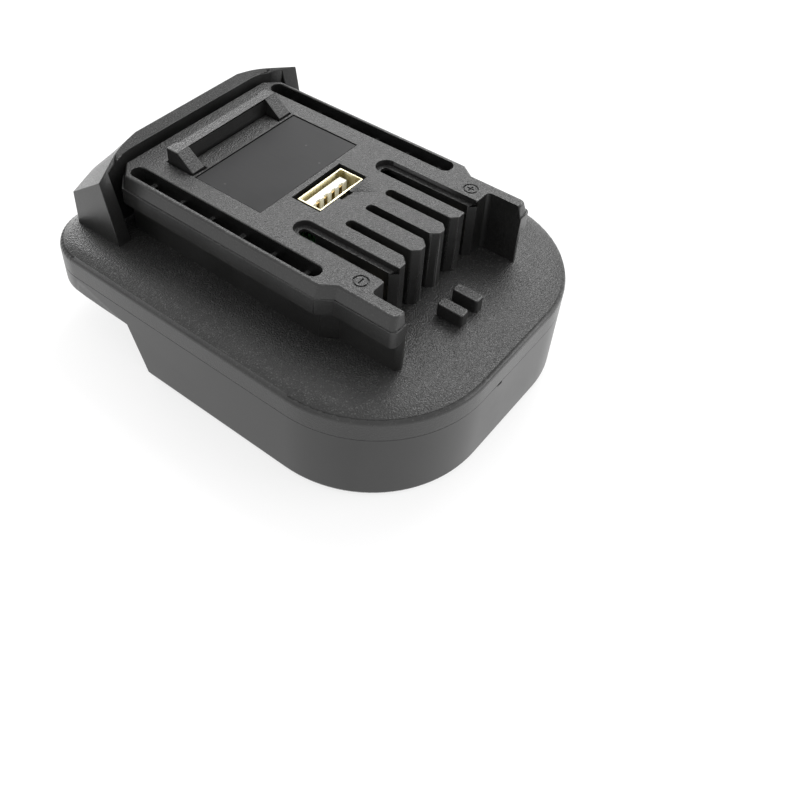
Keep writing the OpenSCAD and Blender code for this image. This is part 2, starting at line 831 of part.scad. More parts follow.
// Cover: skirt, sloped band, shelf, rail plate and hood in one moulding
module top_cover() {
    color(black)
        union() {
            difference() {
                union() {
                    translate([0, 0, lower_h])
                        linear_extrude(skirt_h)
                            plan();
                    hull() {
                        translate([0, 0, edge_z - eps])
                            linear_extrude(eps)
                                plan();
                        translate([0, 0, shelf_z - eps])
                            linear_extrude(eps)
                                corner_plan(base_w - 2 * band_side, front_y + band_front,
                                    rear_y - band_side, front_r - band_front + 0.4,
                                    rear_r - band_side);
                    }
                    plate_body();
                    hood_body();
                    bump(-bump_x);
                    bump(bump_x);
                }
                translate([0, 0, lower_h - 1])
                    linear_extrude(ceil_z - lower_h + 1)
                        plan(wall);
                translate([0, 0, lower_h - 1])
                    linear_extrude(1 + lip_h + slide_gap)
                        plan(wall - lip_t - set_gap);
                for (s = [-1, 1]) {
                    rail_groove(s);
                    contact_slot(s * outer_x, outer_l);
                    contact_slot(s * slot_pitch, slot_l);
                    slot_rim(s * outer_x);
                    clip_pocket(s * outer_x, power_in);
                    clip_pocket(s * slot_pitch, signal_in);
                    for (y = board_screw_ys)
                        translate([s * board_screw_x, y, ceil_z - 1])
                            cylinder(r = board_screw_r + screw_gap, h = board_screw_l + 1.5);
                    for (y = screw_ys)
                        translate([s * boss_x, y, lower_h])
                            cylinder(r = screw_r + screw_gap, h = ceil_z - lower_h + 0.8);
                }
                contact_slot(0, slot_l);
                polarity_mark(-mark_x, false);
                polarity_mark(mark_x, true);
                box([-carrier_w / 2 - set_gap, carrier_y0 - set_gap, ceil_z - 1],
                    [carrier_w / 2 + set_gap, carrier_y1 + set_gap, clip_z]);
                box([-bay_w / 2, hall_y0, ceil_z - 1], [bay_w / 2, hall_y1, bay_ceil]);
                box([-bay_w / 2, bay_y0, ceil_z - 1], [bay_w / 2, bay_y1, bay_ceil]);
                box([-guide_w / 2 - 1, bay_y1 - 1, ceil_z - 1],
                    [guide_w / 2 + 1, hood_y + hood_wall + 1, bridge_top + slide_gap]);
                box([-label_w / 2, label_y0, plate_z - label_d], [label_w / 2, label_y1, plate_z + 1]);
                box([-port_w / 2 - port_gap, port_y - port_d / 2 - port_front, bay_ceil - 1],
                    [port_w / 2 + port_gap, port_y + port_d / 2 + port_back, plate_z + 1]);
                box([-port_notch / 2, port_y - port_d / 2 - port_front - 1, plate_z - 1],
                    [port_notch / 2, port_y, plate_z + 1]);
                tooth_window();
                hood_hollow();
            }
            both() {
                for (y = screw_ys)
                    cover_boss(boss_x, y);
                box([guide_w / 2, bay_y1 - 3, ceil_z], [bay_w / 2 + eps, bay_y1 - 1, bay_ceil + eps]);
            }
        }
}

// Side view of the space inside the lower shell
module shell_space() {
    across(base_w)
        polygon([
            [front_y, floor_t], [step_y - wall, floor_t],
            [step_y + step_run - wall, tail_floor_z], [rear_y, tail_floor_z],
            [rear_y, lower_h + 1], [front_y, lower_h + 1]
        ]);
}

// Side view of what is cut away under the tail
module tail_cut() {
    across(base_w + 2)
        polygon([
            [step_y, -1], [step_y, 0], [step_y + step_run, tail_z],
            [rear_y + 1, tail_z], [rear_y + 1, -1]
        ]);
}

// Lower shell: tray, socket for the donor pack, screw columns and spring posts
module lower_shell() {
    n = socket_w / 2 - socket_rail_in;
    color(black)
        difference() {
            union() {
                difference() {
                    linear_extrude(lower_h)
                        plan();
                    intersection() {
                        translate([0, 0, -1])
                            linear_extrude(lower_h + 2)
                                plan(wall);
                        shell_space();
                    }
                }
                translate([0, 0, lower_h - 1])
                    linear_extrude(lip_h + 1)
                        difference() {
                            plan(wall - lip_t);
                            plan(wall);
                        }
                box([-socket_w / 2 - wall, socket_y - wall, 0],
                    [socket_w / 2 + wall, step_y + step_run, socket_h + wall]);
                both()
                    for (y = screw_ys)
                        translate([boss_x, y, 0])
                            cylinder(r = column_r, h = lower_h);
                both()
                    translate([spring_x, spring_y, tail_floor_z - eps])
                        cylinder(r = post_r, h = post_h);
            }
            tail_cut();
            box([-socket_w / 2, socket_y, socket_rail_h], [socket_w / 2, rear_y, socket_h]);
            box([-n, socket_y, -1], [n, rear_y, socket_rail_h + eps]);
            both() {
                box([socket_w / 2 - 1, step_y - catch_in - catch_l, socket_rail_h],
                    [socket_w / 2 + catch_d, step_y - catch_in, socket_h - 1]);
                for (y = screw_ys) {
                    translate([boss_x, y, -1])
                        cylinder(r = screw_head_r + head_gap, h = seat_d + 1);
                    translate([boss_x, y, 0])
                        cylinder(r = screw_r + screw_gap, h = lower_h + 1);
                }
            }
            box([-block_w / 2 - set_gap, socket_y - wall - 1, block_z - set_gap],
                [block_w / 2 + set_gap, socket_y + 1, block_z + block_h + set_gap]);
            translate([nick_x, front_y, lower_h])
                box([-nick_w / 2, -1, -nick_h], [nick_w / 2, nick_d, 1]);
        }
}

// Latch: tooth, bridge and button in one moulding
module release_latch() {
    s = slide_gap;
    head = -slope_drop - button_h;
    color([0.12, 0.12, 0.125])
        difference() {
            union() {
                box([-latch_w / 2, latch_y0, bridge_z], [latch_w / 2, stem_y1, bridge_top]);
                box([-latch_w / 2, ramp_y, bridge_z], [latch_w / 2, bar_y, plate_z + tooth_h]);
                both()
                    translate([tooth_w / 2 - ramp_w / 2, 0, 0])
                        across(ramp_w)
                            polygon([
                                [latch_y0, bridge_z], [ramp_y + eps, bridge_z],
                                [ramp_y + eps, plate_z + tooth_h], [latch_y0, plate_z + ramp_foot]
                            ]);
                across(button_w)
                    polygon([
                        [button_y0, bridge_z],
                        [button_y0, plate_z + slope_z(button_y0 - hood_y)],
                        hood_pt(slope_in, -slope_drop),
                        hood_pt(slope_in + lean * button_h, head),
                        [stem_y1, plate_z + head],
                        [stem_y1, bridge_z]
                    ]);
                both()
                    translate([spring_x, spring_y, bridge_z - 2])
                        cylinder(r = post_r, h = 2 + eps);
            }
            across(dip_w)
                polygon([
                    hood_pt(slope_in - dip_in, slope_z(slope_in - dip_in) + 1),
                    hood_pt(slope_in - dip_in, slope_z(slope_in - dip_in) - dip_d),
                    hood_pt(slope_in - dip_rear, slope_z(slope_in - dip_rear) - dip_d),
                    hood_pt(slope_in - dip_rear, slope_z(slope_in - dip_rear) + 2)
                ]);
            box([-latch_w / 2 + bar_end, bar_y - bar_hollow, plate_z],
                [latch_w / 2 - bar_end, bar_y + 1, plate_z + tooth_h + 1]);
        }
}

// Points of a coil: rings of six corners along a helix
coil_r = (spring_d - wire_d) / 2;
coil_pitch = (spring_l - wire_d) / spring_turns;
coil_steps = 8 * spring_turns;
coil_sides = 6;
function coil_c(i) = [
    coil_r * cos(45 * i), coil_r * sin(45 * i),
    wire_d / 2 + coil_pitch * i / 8
];
function coil_ring(i) = [
    for (k = [0 : coil_sides - 1])
        let (a = 360 * k / coil_sides)
        coil_c(i) + wire_d / 2 * [
            cos(a) * cos(45 * i), cos(a) * sin(45 * i), sin(a)
        ]
];
echo(coil_self_gap = coil_pitch - wire_d);

// One spring as an unbroken tube
module coil() {
    n = coil_sides;
    pts = [for (i = [0 : coil_steps]) each coil_ring(i)];
    walls = [
        for (i = [0 : coil_steps - 1], k = [0 : n - 1])
            let (a = i * n + k, b = i * n + (k + 1) % n)
            each [[a, b + n, b], [a, a + n, b + n]]
    ];
    first = [for (k = [1 : n - 2]) [0, k, k + 1]];
    last = [for (k = [1 : n - 2]) coil_steps * n * [1, 1, 1] + [0, k + 1, k]];
    polyhedron(pts, concat(walls, first, last));
}

// Two return springs under the latch
module latch_springs() {
    color([0.75, 0.76, 0.78])
        for (s = [-1, 1])
            translate([s * spring_x, spring_y, tail_floor_z])
                coil();
}

// Bare label in its recess
module label_plate() {
    g = label_gap;
    z = plate_z - label_d;
    color([0.08, 0.08, 0.085])
        box([-label_w / 2 + g, label_y0 + g, z], [label_w / 2 - g, label_y1 - g, z + label_t]);
}

// Metal shell of the charging port, standing on the board
module usb_shell() {
    t = port_t;
    color([0.78, 0.77, 0.74])
        translate([0, port_y, 0])
            difference() {
                box([-port_w / 2, -port_d / 2, ceil_z], [port_w / 2, port_d / 2, port_z]);
                box([-port_w / 2 + t, -port_d / 2 + t, ceil_z - 1],
                    [port_w / 2 - t, port_d / 2 - t, port_z + 1]);
            }
}

// Cuts for the port's four contacts, from one height to another
module pin_slots(z0, z1) {
    for (i = [-1.5 : 1 : 1.5])
        box([i * pin_pitch - pin_w / 2 - set_gap, pin_y - 1, z0],
            [i * pin_pitch + pin_w / 2 + set_gap, pin_y + pin_sunk + pin_t, z1]);
}

// Insulating base and tongue inside the port
module usb_insulator() {
    w = port_w - 2 * port_t - 2 * set_gap;
    d = port_d - 2 * port_t - 2 * set_gap;
    color([0.93, 0.92, 0.88])
        difference() {
            union() {
                box([-w / 2, port_y - d / 2, ceil_z], [w / 2, port_y + d / 2, ceil_z + port_base]);
                box([-w / 2 + tongue_side, pin_y, ceil_z],
                    [w / 2 - tongue_side, pin_y + tongue_t, port_z - tongue_drop]);
            }
            pin_slots(ceil_z - 1, port_z);
        }
}

// Four contact strips on the tongue
module usb_contacts() {
    color([0.83, 0.66, 0.3])
        for (i = [-1.5 : 1 : 1.5])
            box([i * pin_pitch - pin_w / 2, pin_y + pin_sunk, board_z - pin_end],
                [i * pin_pitch + pin_w / 2, pin_y + pin_sunk + pin_t, port_z - tongue_drop - pin_end]);
}

// Circuit board under the plate
module circuit_board() {
    color([0.09, 0.3, 0.16])
        difference() {
            box([-board_w / 2, board_y0, board_z], [board_w / 2, board_y1, ceil_z]);
            for (s = [-1, 1], y = board_screw_ys)
                translate([s * board_screw_x, y, board_z - 1])
                    cylinder(r = board_screw_r + screw_gap, h = board_t + 2);
            for (i = [-1.5 : 1 : 1.5])
                box([i * pin_pitch - pin_w / 2 - set_gap, pin_y + pin_sunk - set_gap, board_z - 1],
                    [i * pin_pitch + pin_w / 2 + set_gap, pin_y + pin_sunk + pin_t + set_gap, ceil_z + 1]);
            for (x = [-outer_x, -slot_pitch, slot_pitch, outer_x])
                tail_hole(x, board_z - 1, ceil_z + 1);
        }
}

// Hole for a contact's solder tail
module tail_hole(x, z0, z1) {
    box([x - tail_w / 2 - set_gap, clip_y - leaf_t - set_gap, z0],
        [x + tail_w / 2 + set_gap, clip_y + set_gap, z1]);
}

// Storage choke of the converter
module power_inductor() {
    f = choke_r + set_gap;
    color([0.2, 0.2, 0.21])
        translate([-bay_w / 4, part_y, ceil_z]) {
            box([-f, -f, 0], [f, f, choke_foot]);
            cylinder(r = choke_r, h = choke_h);
        }
}

// Two can capacitors
module filter_capacitors() {
    color([0.7, 0.71, 0.73])
        for (s = [-1, 1])
            translate([bay_w / 4 + s * (can_r + can_gap / 2), part_y, ceil_z])
                cylinder(r = can_r, h = can_h);
}

// Converter chip under the board
module converter_chip() {
    color([0.1, 0.1, 0.1])
        translate([0, part_y, board_z])
            box([-chip_w / 2, -chip_l / 2, -chip_h], [chip_w / 2, chip_l / 2, 0]);
}

// Four chip resistors under the board
module chip_resistors() {
    color([0.15, 0.15, 0.17])
        for (i = [-1.5 : 1 : 1.5])
            translate([i * res_pitch, part_y - chip_l / 2 - 2 * res_l, board_z])
                box([-res_w / 2, -res_l / 2, -res_h], [res_w / 2, res_l / 2, 0]);
}

// Carrier that holds the four contacts on the board
module contact_carrier() {
    color([0.1, 0.1, 0.1])
        difference() {
            box([-carrier_w / 2, carrier_y0, ceil_z], [carrier_w / 2, carrier_y1, clip_z]);
            for (x = [-outer_x, -slot_pitch, slot_pitch, outer_x])
                tail_hole(x, ceil_z - 1, clip_z + 1);
        }
}

// Plan of one leaf of a contact, from its pinch to its rear web
module leaf_plan(y0) {
    w = clip_w / 2;
    p = pinch_gap / 2;
    t = leaf_t;
    polygon([
        [w - 0.35, y0], [p, y0 + 1.9], [w - t, y0 + 4.6], [w - t, clip_y],
        [w, clip_y], [w, y0 + 4.4], [p + t, y0 + 1.9], [w + 0.1, y0 + 0.35]
    ]);
}

// Tulip contact: two pinched leaves, a rear web and a solder tail
module clip(x, y_in) {
    color([0.8, 0.66, 0.36])
        translate([x, 0, 0]) {
            translate([0, 0, clip_z])
                linear_extrude(clip_h) {
                    leaf_plan(tip_y + y_in);
                    mirror([1, 0])
                        leaf_plan(tip_y + y_in);
                    translate([-clip_w / 2, clip_y - leaf_t])
                        square([clip_w, leaf_t]);
                }
            box([-tail_w / 2, clip_y - leaf_t, board_z - tail_out],
                [tail_w / 2, clip_y, clip_z + eps]);
        }
}

// Contact on the minus side
module negative_clip() {
    clip(-outer_x, power_in);
}

// Contact on the plus side
module positive_clip() {
    clip(outer_x, power_in);
}

// Signal contact beside the minus contact
module left_signal_clip() {
    clip(-slot_pitch, signal_in);
}

// Signal contact beside the plus contact
module right_signal_clip() {
    clip(slot_pitch, signal_in);
}

// Block that carries the donor blades at the front of the socket
module blade_block() {
    color([0.1, 0.1, 0.1])
        difference() {
            union() {
                box([-block_w / 2, block_y0, block_z],
                    [block_w / 2, socket_y + block_in, block_z + block_h]);
                box([-block_w / 2 - wall, socket_y, block_z],
                    [block_w / 2 + wall, socket_y + block_lip, block_z + block_h]);
            }
            for (i = [-1, 0, 1])
                box([i * blade_pitch - blade_t / 2 - screw_gap, block_y0 - 1, blade_z - screw_gap],
                    [i * blade_pitch + blade_t / 2 + screw_gap, socket_y + block_in + 1,
                        blade_z + blade_h + screw_gap]);
        }
}

// Flat blade through the block, with a tail for its lead
module blade(x) {
    color([0.8, 0.68, 0.4])
        box([x - blade_t / 2, blade_y0, blade_z], [x + blade_t / 2, blade_y1, blade_z + blade_h]);
}

// Minus blade
module negative_blade() {
    blade(-blade_pitch);
}

// Plus blade
module positive_blade() {
    blade(blade_pitch);
}

// Signal blade in the middle
module signal_blade() {
    blade(0);
}

// Straight stretch of a lead between two points
module lead_run(a, b) {
    d = b - a;
    l = norm(d);
    translate(a)
        rotate([0, acos(d[2] / l), atan2(d[1], d[0])])
            cylinder(r = lead_r, h = l);
}

// Lead from a blade's tail up to the underside of the board
module lead(x, tint) {
    z0 = blade_z + blade_h / 2;
    z1 = (socket_h + wall + board_z) / 2;
    y0 = blade_y0 - lead_r - 1;
    y1 = board_y0 + 3;
    p = [
        [x, blade_y0, z0], [x, y0, z0], [x, y0, z1], [x, y1, z1], [x, y1, board_z]
    ];
    color(tint)
        union() {
            for (i = [0 : len(p) - 2])
                lead_run(p[i], p[i + 1]);
            for (i = [1 : len(p) - 2])
                translate(p[i])
                    sphere(lead_r);
        }
}

// Minus lead
module negative_lead() {
    lead(-blade_pitch, [0.05, 0.05, 0.05]);
}

// Plus lead
module positive_lead() {
    lead(blade_pitch, [0.7, 0.08, 0.06]);
}

// Signal lead
module signal_lead() {
    lead(0, [0.85, 0.75, 0.15]);
}

// Screw with a low head under its seat, a thread above it and a cross recess
module screw(r, l, head_r, head_h) {
    difference() {
        union() {
            translate([0, 0, -eps])
                cylinder(r = r, h = l + eps);
            translate([0, 0, -head_h])
                cylinder(r = head_r, h = head_h);
        }
        for (a = [0, 90])
            rotate([0, 0, a])
                translate([-head_r * 0.6, -head_r * 0.12, -head_h - 1])
                    cube([head_r * 1.2, head_r * 0.24, 1 + head_h / 2]);
    }
}

// Four small screws that hold the board to the plate
module board_screws() {
    color([0.62, 0.63, 0.65])
        for (s = [-1, 1], y = board_screw_ys)
            translate([s * board_screw_x, y, board_z])
                screw(board_screw_r, board_t + board_screw_l, 2 * board_screw_r, board_screw_r);
}

// Four screws that hold the case together from below
module case_screws() {
    color([0.35, 0.35, 0.36])
        for (s = [-1, 1], y = screw_ys)
            translate([s * boss_x, y, seat_d])
                screw(screw_r, ceil_z - seat_d + 0.4, screw_head_r, screw_head_h);
}

top_cover();
lower_shell();
release_latch();
latch_springs();
label_plate();
usb_shell();
usb_insulator();
usb_contacts();
circuit_board();
power_inductor();
filter_capacitors();
converter_chip();
chip_resistors();
contact_carrier();
negative_clip();
positive_clip();
left_signal_clip();
right_signal_clip();
blade_block();
negative_blade();
positive_blade();
signal_blade();
negative_lead();
positive_lead();
signal_lead();
board_screws();
case_screws();
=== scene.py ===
"""Looks of the slide-on battery adapter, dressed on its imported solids.

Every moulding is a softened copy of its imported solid, with rounded edges in the mesh. Wire and leads are
tubes worked out with numpy. Millimetres are used for sizes here and turned into metres when a mesh is made.
"""
import logging
import math
from dataclasses import dataclass
from enum import Enum

import bmesh
import bpy
import numpy as np
from mathutils import Matrix, Vector


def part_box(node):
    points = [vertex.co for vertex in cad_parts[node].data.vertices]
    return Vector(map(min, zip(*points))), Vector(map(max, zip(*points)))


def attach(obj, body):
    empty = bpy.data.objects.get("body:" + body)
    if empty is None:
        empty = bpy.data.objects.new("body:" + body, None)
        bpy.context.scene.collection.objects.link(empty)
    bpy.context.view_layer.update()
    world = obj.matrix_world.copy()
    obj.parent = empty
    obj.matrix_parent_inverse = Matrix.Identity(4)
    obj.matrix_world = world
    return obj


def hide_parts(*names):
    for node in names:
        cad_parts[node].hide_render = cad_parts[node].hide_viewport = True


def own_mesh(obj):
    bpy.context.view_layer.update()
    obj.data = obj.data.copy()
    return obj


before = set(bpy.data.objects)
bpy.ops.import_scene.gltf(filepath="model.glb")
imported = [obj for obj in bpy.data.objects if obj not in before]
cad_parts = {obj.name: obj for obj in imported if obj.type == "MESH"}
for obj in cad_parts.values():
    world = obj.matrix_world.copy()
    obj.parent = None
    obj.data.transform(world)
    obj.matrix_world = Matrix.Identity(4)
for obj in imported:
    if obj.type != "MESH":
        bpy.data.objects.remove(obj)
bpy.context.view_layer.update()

MM = 0.001
SHARP = math.radians(30)  # least angle of an edge that is rounded
FLAT = 2e-3  # greatest angle between faces that become one, in radians
WELD = 1e-6  # corners closer than this are merged, in metres
SLIVER = 1e-7  # edges shorter than this are dropped, in metres
SLACK = 0.01  # for corners at one height, in millimetres
FAR = 60.0  # beyond every edge of the adapter, in millimetres
NEAR = 0.1  # for edges at one height, in millimetres
AIM = (0.0, 0.0, 0.02)  # what the lights look at, in metres
DUST = (0.5, 0.5, 0.48, 1.0)
LOG = logging.getLogger("adapter")

Pair = tuple[float, float]
Triple = tuple[float, float, float]


class Body(Enum):
    """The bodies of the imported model."""

    CASE = "case"
    LATCH = "latch"


class Effect(Enum):
    """Shared shader effects, by the name of their node group."""

    GRAIN = "grain_and_painted_glints"
    CLOUD = "tone_cloud"
    SPECKS = "dust_specks"
    LINES = "drawn_lines"
    TOP = "top_facing"


class Graph:
    """Adds nodes and links to one node tree."""

    def __init__(self, tree: bpy.types.NodeTree) -> None:
        """Keeps the tree.

        Args:
            tree: The node tree to work in.
        """
        self.tree = tree

    def node(self, kind: str, **settings: object) -> bpy.types.Node:
        """Adds one node.

        Args:
            kind: Blender's name of the node type.
            **settings: Properties of the node.

        Returns:
            The new node.
        """
        made = self.tree.nodes.new(kind)
        for name, value in settings.items():
            setattr(made, name, value)
        return made

    def put(self, socket: bpy.types.NodeSocket, value: object) -> None:
        """Links a socket to another one, or sets its plain value.

        Args:
            socket: The input to fill.
            value: An output socket, a number or a tuple.
        """
        if isinstance(value, bpy.types.NodeSocket):
            self.tree.links.new(value, socket)
        else:
            socket.default_value = value

    def sum(self, operation: str, *values: object) -> bpy.types.NodeSocket:
        """Works out one step of arithmetic.

        Args:
            operation: Name of the Math node's operation.
            *values: Its inputs, sockets or numbers.

        Returns:
            The result's socket.
        """
        made = self.node("ShaderNodeMath", operation=operation)
        for socket, value in zip(made.inputs, values):
            self.put(socket, value)
        return made.outputs[0]

    def span(self, value: object, low: float, high: float, to: Pair = (0, 1)) -> bpy.types.NodeSocket:
        """Maps a span of values onto another, held at its ends.

        Args:
            value: The value to map.
            low: Start of the span.
            high: End of the span.
            to: The span that comes out.

        Returns:
            The mapped value's socket.
        """
        made = self.node("ShaderNodeMapRange", interpolation_type="SMOOTHSTEP")
        for socket, item in zip(made.inputs, (value, low, high, *to)):
            self.put(socket, item)
        return made.outputs[0]

    def mix(self, share: object, first: object, second: object) -> bpy.types.NodeSocket:
        """Mixes two colours.

        Args:
            share: Share of the second colour.
            first: First colour, a socket or four numbers.
            second: Second colour.

        Returns:
            The mixed colour's socket.
        """
        made = self.node("ShaderNodeMix", data_type="RGBA")
        for index, value in ((0, share), (6, first), (7, second)):
            self.put(made.inputs[index], value)
        return made.outputs[2]

    def effect(self, kind: Effect, **values: object) -> bpy.types.Node:
        """Places one shared effect.

        Args:
            kind: The effect.
            **values: Its inputs by name.

        Returns:
            The group node.
        """
        made = self.node("ShaderNodeGroup", node_tree=Effects.tree(kind))
        for name, value in values.items():
            self.put(made.inputs[name], value)
        return made


class Effects:
    """Builds each shared effect once, as a shader node group."""

    FIELD = {"Vector": "NodeSocketVector", "Scale": "NodeSocketFloat"}
    NOISE = (0.3, 0.7)  # where most of a noise texture's values lie

    @staticmethod
    def tree(kind: Effect) -> bpy.types.NodeTree:
        """Finds a group, or builds it at its first use.

        Args:
            kind: The effect.

        Returns:
            The group's tree.
        """
        made = bpy.data.node_groups.get(kind.value)
        if made is None:
            made = bpy.data.node_groups.new(kind.value, "ShaderNodeTree")
            getattr(Effects, kind.name.lower())(Graph(made))
        return made

    @staticmethod
    def sockets(graph: Graph, inputs: dict[str, str], outputs: list[str]) -> tuple[bpy.types.Node, bpy.types.Node]:
        """Gives a group its named inputs and outputs.

        Args:
            graph: The group's graph.
            inputs: Socket type of each input.
            outputs: Names of the outputs, all plain values.

        Returns:
            The group's input node and output node.
        """
        face = graph.tree.interface
        for name, kind in inputs.items():
            face.new_socket(name=name, in_out="INPUT", socket_type=kind)
        for name in outputs:
            face.new_socket(name=name, in_out="OUTPUT", socket_type="NodeSocketFloat")
        return graph.node("NodeGroupInput"), graph.node("NodeGroupOutput")

    @staticmethod
    def texture(graph: Graph, kind: str, given: bpy.types.Node, **settings: object) -> bpy.types.Node:
        """Adds a texture that takes the group's coordinates and scale.

        Args:
            graph: The group's graph.
            kind: Blender's name of the texture node.
            given: The group's input node.
            **settings: Properties of the texture node.

        Returns:
            The texture node.
        """
        made = graph.node(kind, **settings)
        for name in Effects.FIELD:
            graph.put(made.inputs[name], given.outputs[name])
        return made

    @staticmethod
    def grain(graph: Graph) -> None:
        """Spark-eroded mould grain: a fine rounded height, and a mask of a share of its cells where glints are
        painted, lighter colour that stands in for light sparkling off the grain.

        Args:
            graph: The group's graph.
        """
        given, out = Effects.sockets(graph, Effects.FIELD, ["Height", "Glint"])
        noise = Effects.texture(graph, "ShaderNodeTexNoise", given)
        noise.inputs["Detail"].default_value = 2.0
        cells = Effects.texture(graph, "ShaderNodeTexVoronoi", given, feature="F1")
        rough = graph.span(noise.outputs[0], *Effects.NOISE)
        dome = graph.span(cells.outputs["Distance"], 0.0, 0.7, (1, 0))
        graph.put(out.inputs["Height"], graph.sum("MULTIPLY_ADD", rough, 0.6, graph.sum("MULTIPLY", dome, 0.4)))
        lone = graph.node("ShaderNodeSeparateColor")
        graph.put(lone.inputs[0], cells.outputs["Color"])
        graph.put(out.inputs["Glint"], graph.sum("MULTIPLY", graph.span(lone.outputs[0], 0.55, 0.95), dome))

    @staticmethod
    def cloud(graph: Graph) -> None:
        """Slow change of tone, from flow in the mould and from handling.

        Args:
            graph: The group's graph.
        """
        given, out = Effects.sockets(graph, Effects.FIELD, ["Tone"])
        noise = Effects.texture(graph, "ShaderNodeTexNoise", given)
        noise.inputs["Detail"].default_value = 4.0
        graph.put(out.inputs["Tone"], graph.span(noise.outputs[0], *Effects.NOISE))

    @staticmethod
    def specks(graph: Graph) -> None:
        """Sparse specks of dust: the middle of a few cells.

        Args:
            graph: The group's graph.
        """
        given, out = Effects.sockets(graph, Effects.FIELD, ["Mask"])
        cells = Effects.texture(graph, "ShaderNodeTexVoronoi", given, feature="F1")
        lone = graph.node("ShaderNodeSeparateColor")
        graph.put(lone.inputs[0], cells.outputs["Color"])
        few = graph.span(lone.outputs[1], 0.72, 0.8)
        small = graph.span(cells.outputs["Distance"], 0.05, 0.11, (1, 0))
        graph.put(out.inputs["Mask"], graph.sum("MULTIPLY", few, small))

    @staticmethod
    def lines(graph: Graph) -> None:
        """Fine drawn lines: noise stretched along one direction.

        Args:
            graph: The group's graph.
        """
        given, out = Effects.sockets(graph, {**Effects.FIELD, "Stretch": "NodeSocketVector"}, ["Value"])
        pulled = graph.node("ShaderNodeVectorMath", operation="MULTIPLY")
        graph.put(pulled.inputs[0], given.outputs["Vector"])
        graph.put(pulled.inputs[1], given.outputs["Stretch"])
        noise = graph.node("ShaderNodeTexNoise")
        noise.inputs["Detail"].default_value = 3.0
        graph.put(noise.inputs["Vector"], pulled.outputs[0])
        graph.put(noise.inputs["Scale"], given.outputs["Scale"])
        graph.put(out.inputs["Value"], graph.span(noise.outputs[0], *Effects.NOISE))

    @staticmethod
    def top(graph: Graph) -> None:
        """Mask of the faces that look upwards, which carry the mould's coarser grain, most of the painted glints
        and the dust.

        Args:
            graph: The group's graph.
        """
        _, out = Effects.sockets(graph, {}, ["Mask"])
        place = graph.node("ShaderNodeTexCoord")
        parts = graph.node("ShaderNodeSeparateXYZ")
        graph.put(parts.inputs[0], place.outputs["Normal"])
        graph.put(out.inputs["Mask"], graph.span(parts.outputs["Z"], 0.35, 0.8))


def rgba(colour: Triple, gain: float = 1.0) -> tuple[float, float, float, float]:
    """Gives a colour its alpha.

    Args:
        colour: Linear red, green and blue.
        gain: Factor on all three.

    Returns:
        Four numbers for a colour socket.
    """
    return (*(min(1.0, part * gain) for part in colour), 1.0)


@dataclass(frozen=True)
class Finish:
    """What all finishes share: a name, a colour, a roughness and a strength of reflection."""

    name: str
    colour: Triple
    rough: float
    shine: float = 0.5

    def start(self, suffix: str = "") -> tuple[bpy.types.Material, Graph, bpy.types.Node, bpy.types.NodeSocket]:
        """Makes an empty material with its shader and its coordinates.

        Args:
            suffix: End of the material's name.

        Returns:
            The material, its graph, its shader and the Object coordinates.
        """
        made = bpy.data.materials.new(self.name + suffix)
        made.use_nodes = True
        graph = Graph(made.node_tree)
        shader = made.node_tree.nodes["Principled BSDF"]
        shader.inputs["Specular IOR Level"].default_value = self.shine
        place = graph.node("ShaderNodeTexCoord")
        return made, graph, shader, place.outputs["Object"]

    def materials(self) -> list[bpy.types.Material]:
        """Makes the finish's material, and one for rounded edges, whose colour is lighter, partly from wear and
        partly as a painted highlight.

        Returns:
            The two materials, for slots 0 and 1.
        """
        return [self.material(), self.material(wear_and_highlight=True)]

    @staticmethod
    def emboss(graph: Graph, shader: bpy.types.Node, height: object, depth: float, share: object = 1.0) -> None:
        """Lets a height shape the shader's normal.

        Args:
            graph: The material's graph.
            shader: The material's shader.
            height: The height, from 0 to 1.
            depth: What a height of 1 stands for, in millimetres.
            share: Strength of the effect.
        """
        bump = graph.node("ShaderNodeBump")
        for name, value in (("Strength", share), ("Distance", depth * MM), ("Height", height)):
            graph.put(bump.inputs[name], value)
        graph.put(shader.inputs["Normal"], bump.outputs[0])

    def material(self, wear_and_highlight: bool = False) -> bpy.types.Material:
        """Makes one material; each finish has its own."""
        raise NotImplementedError


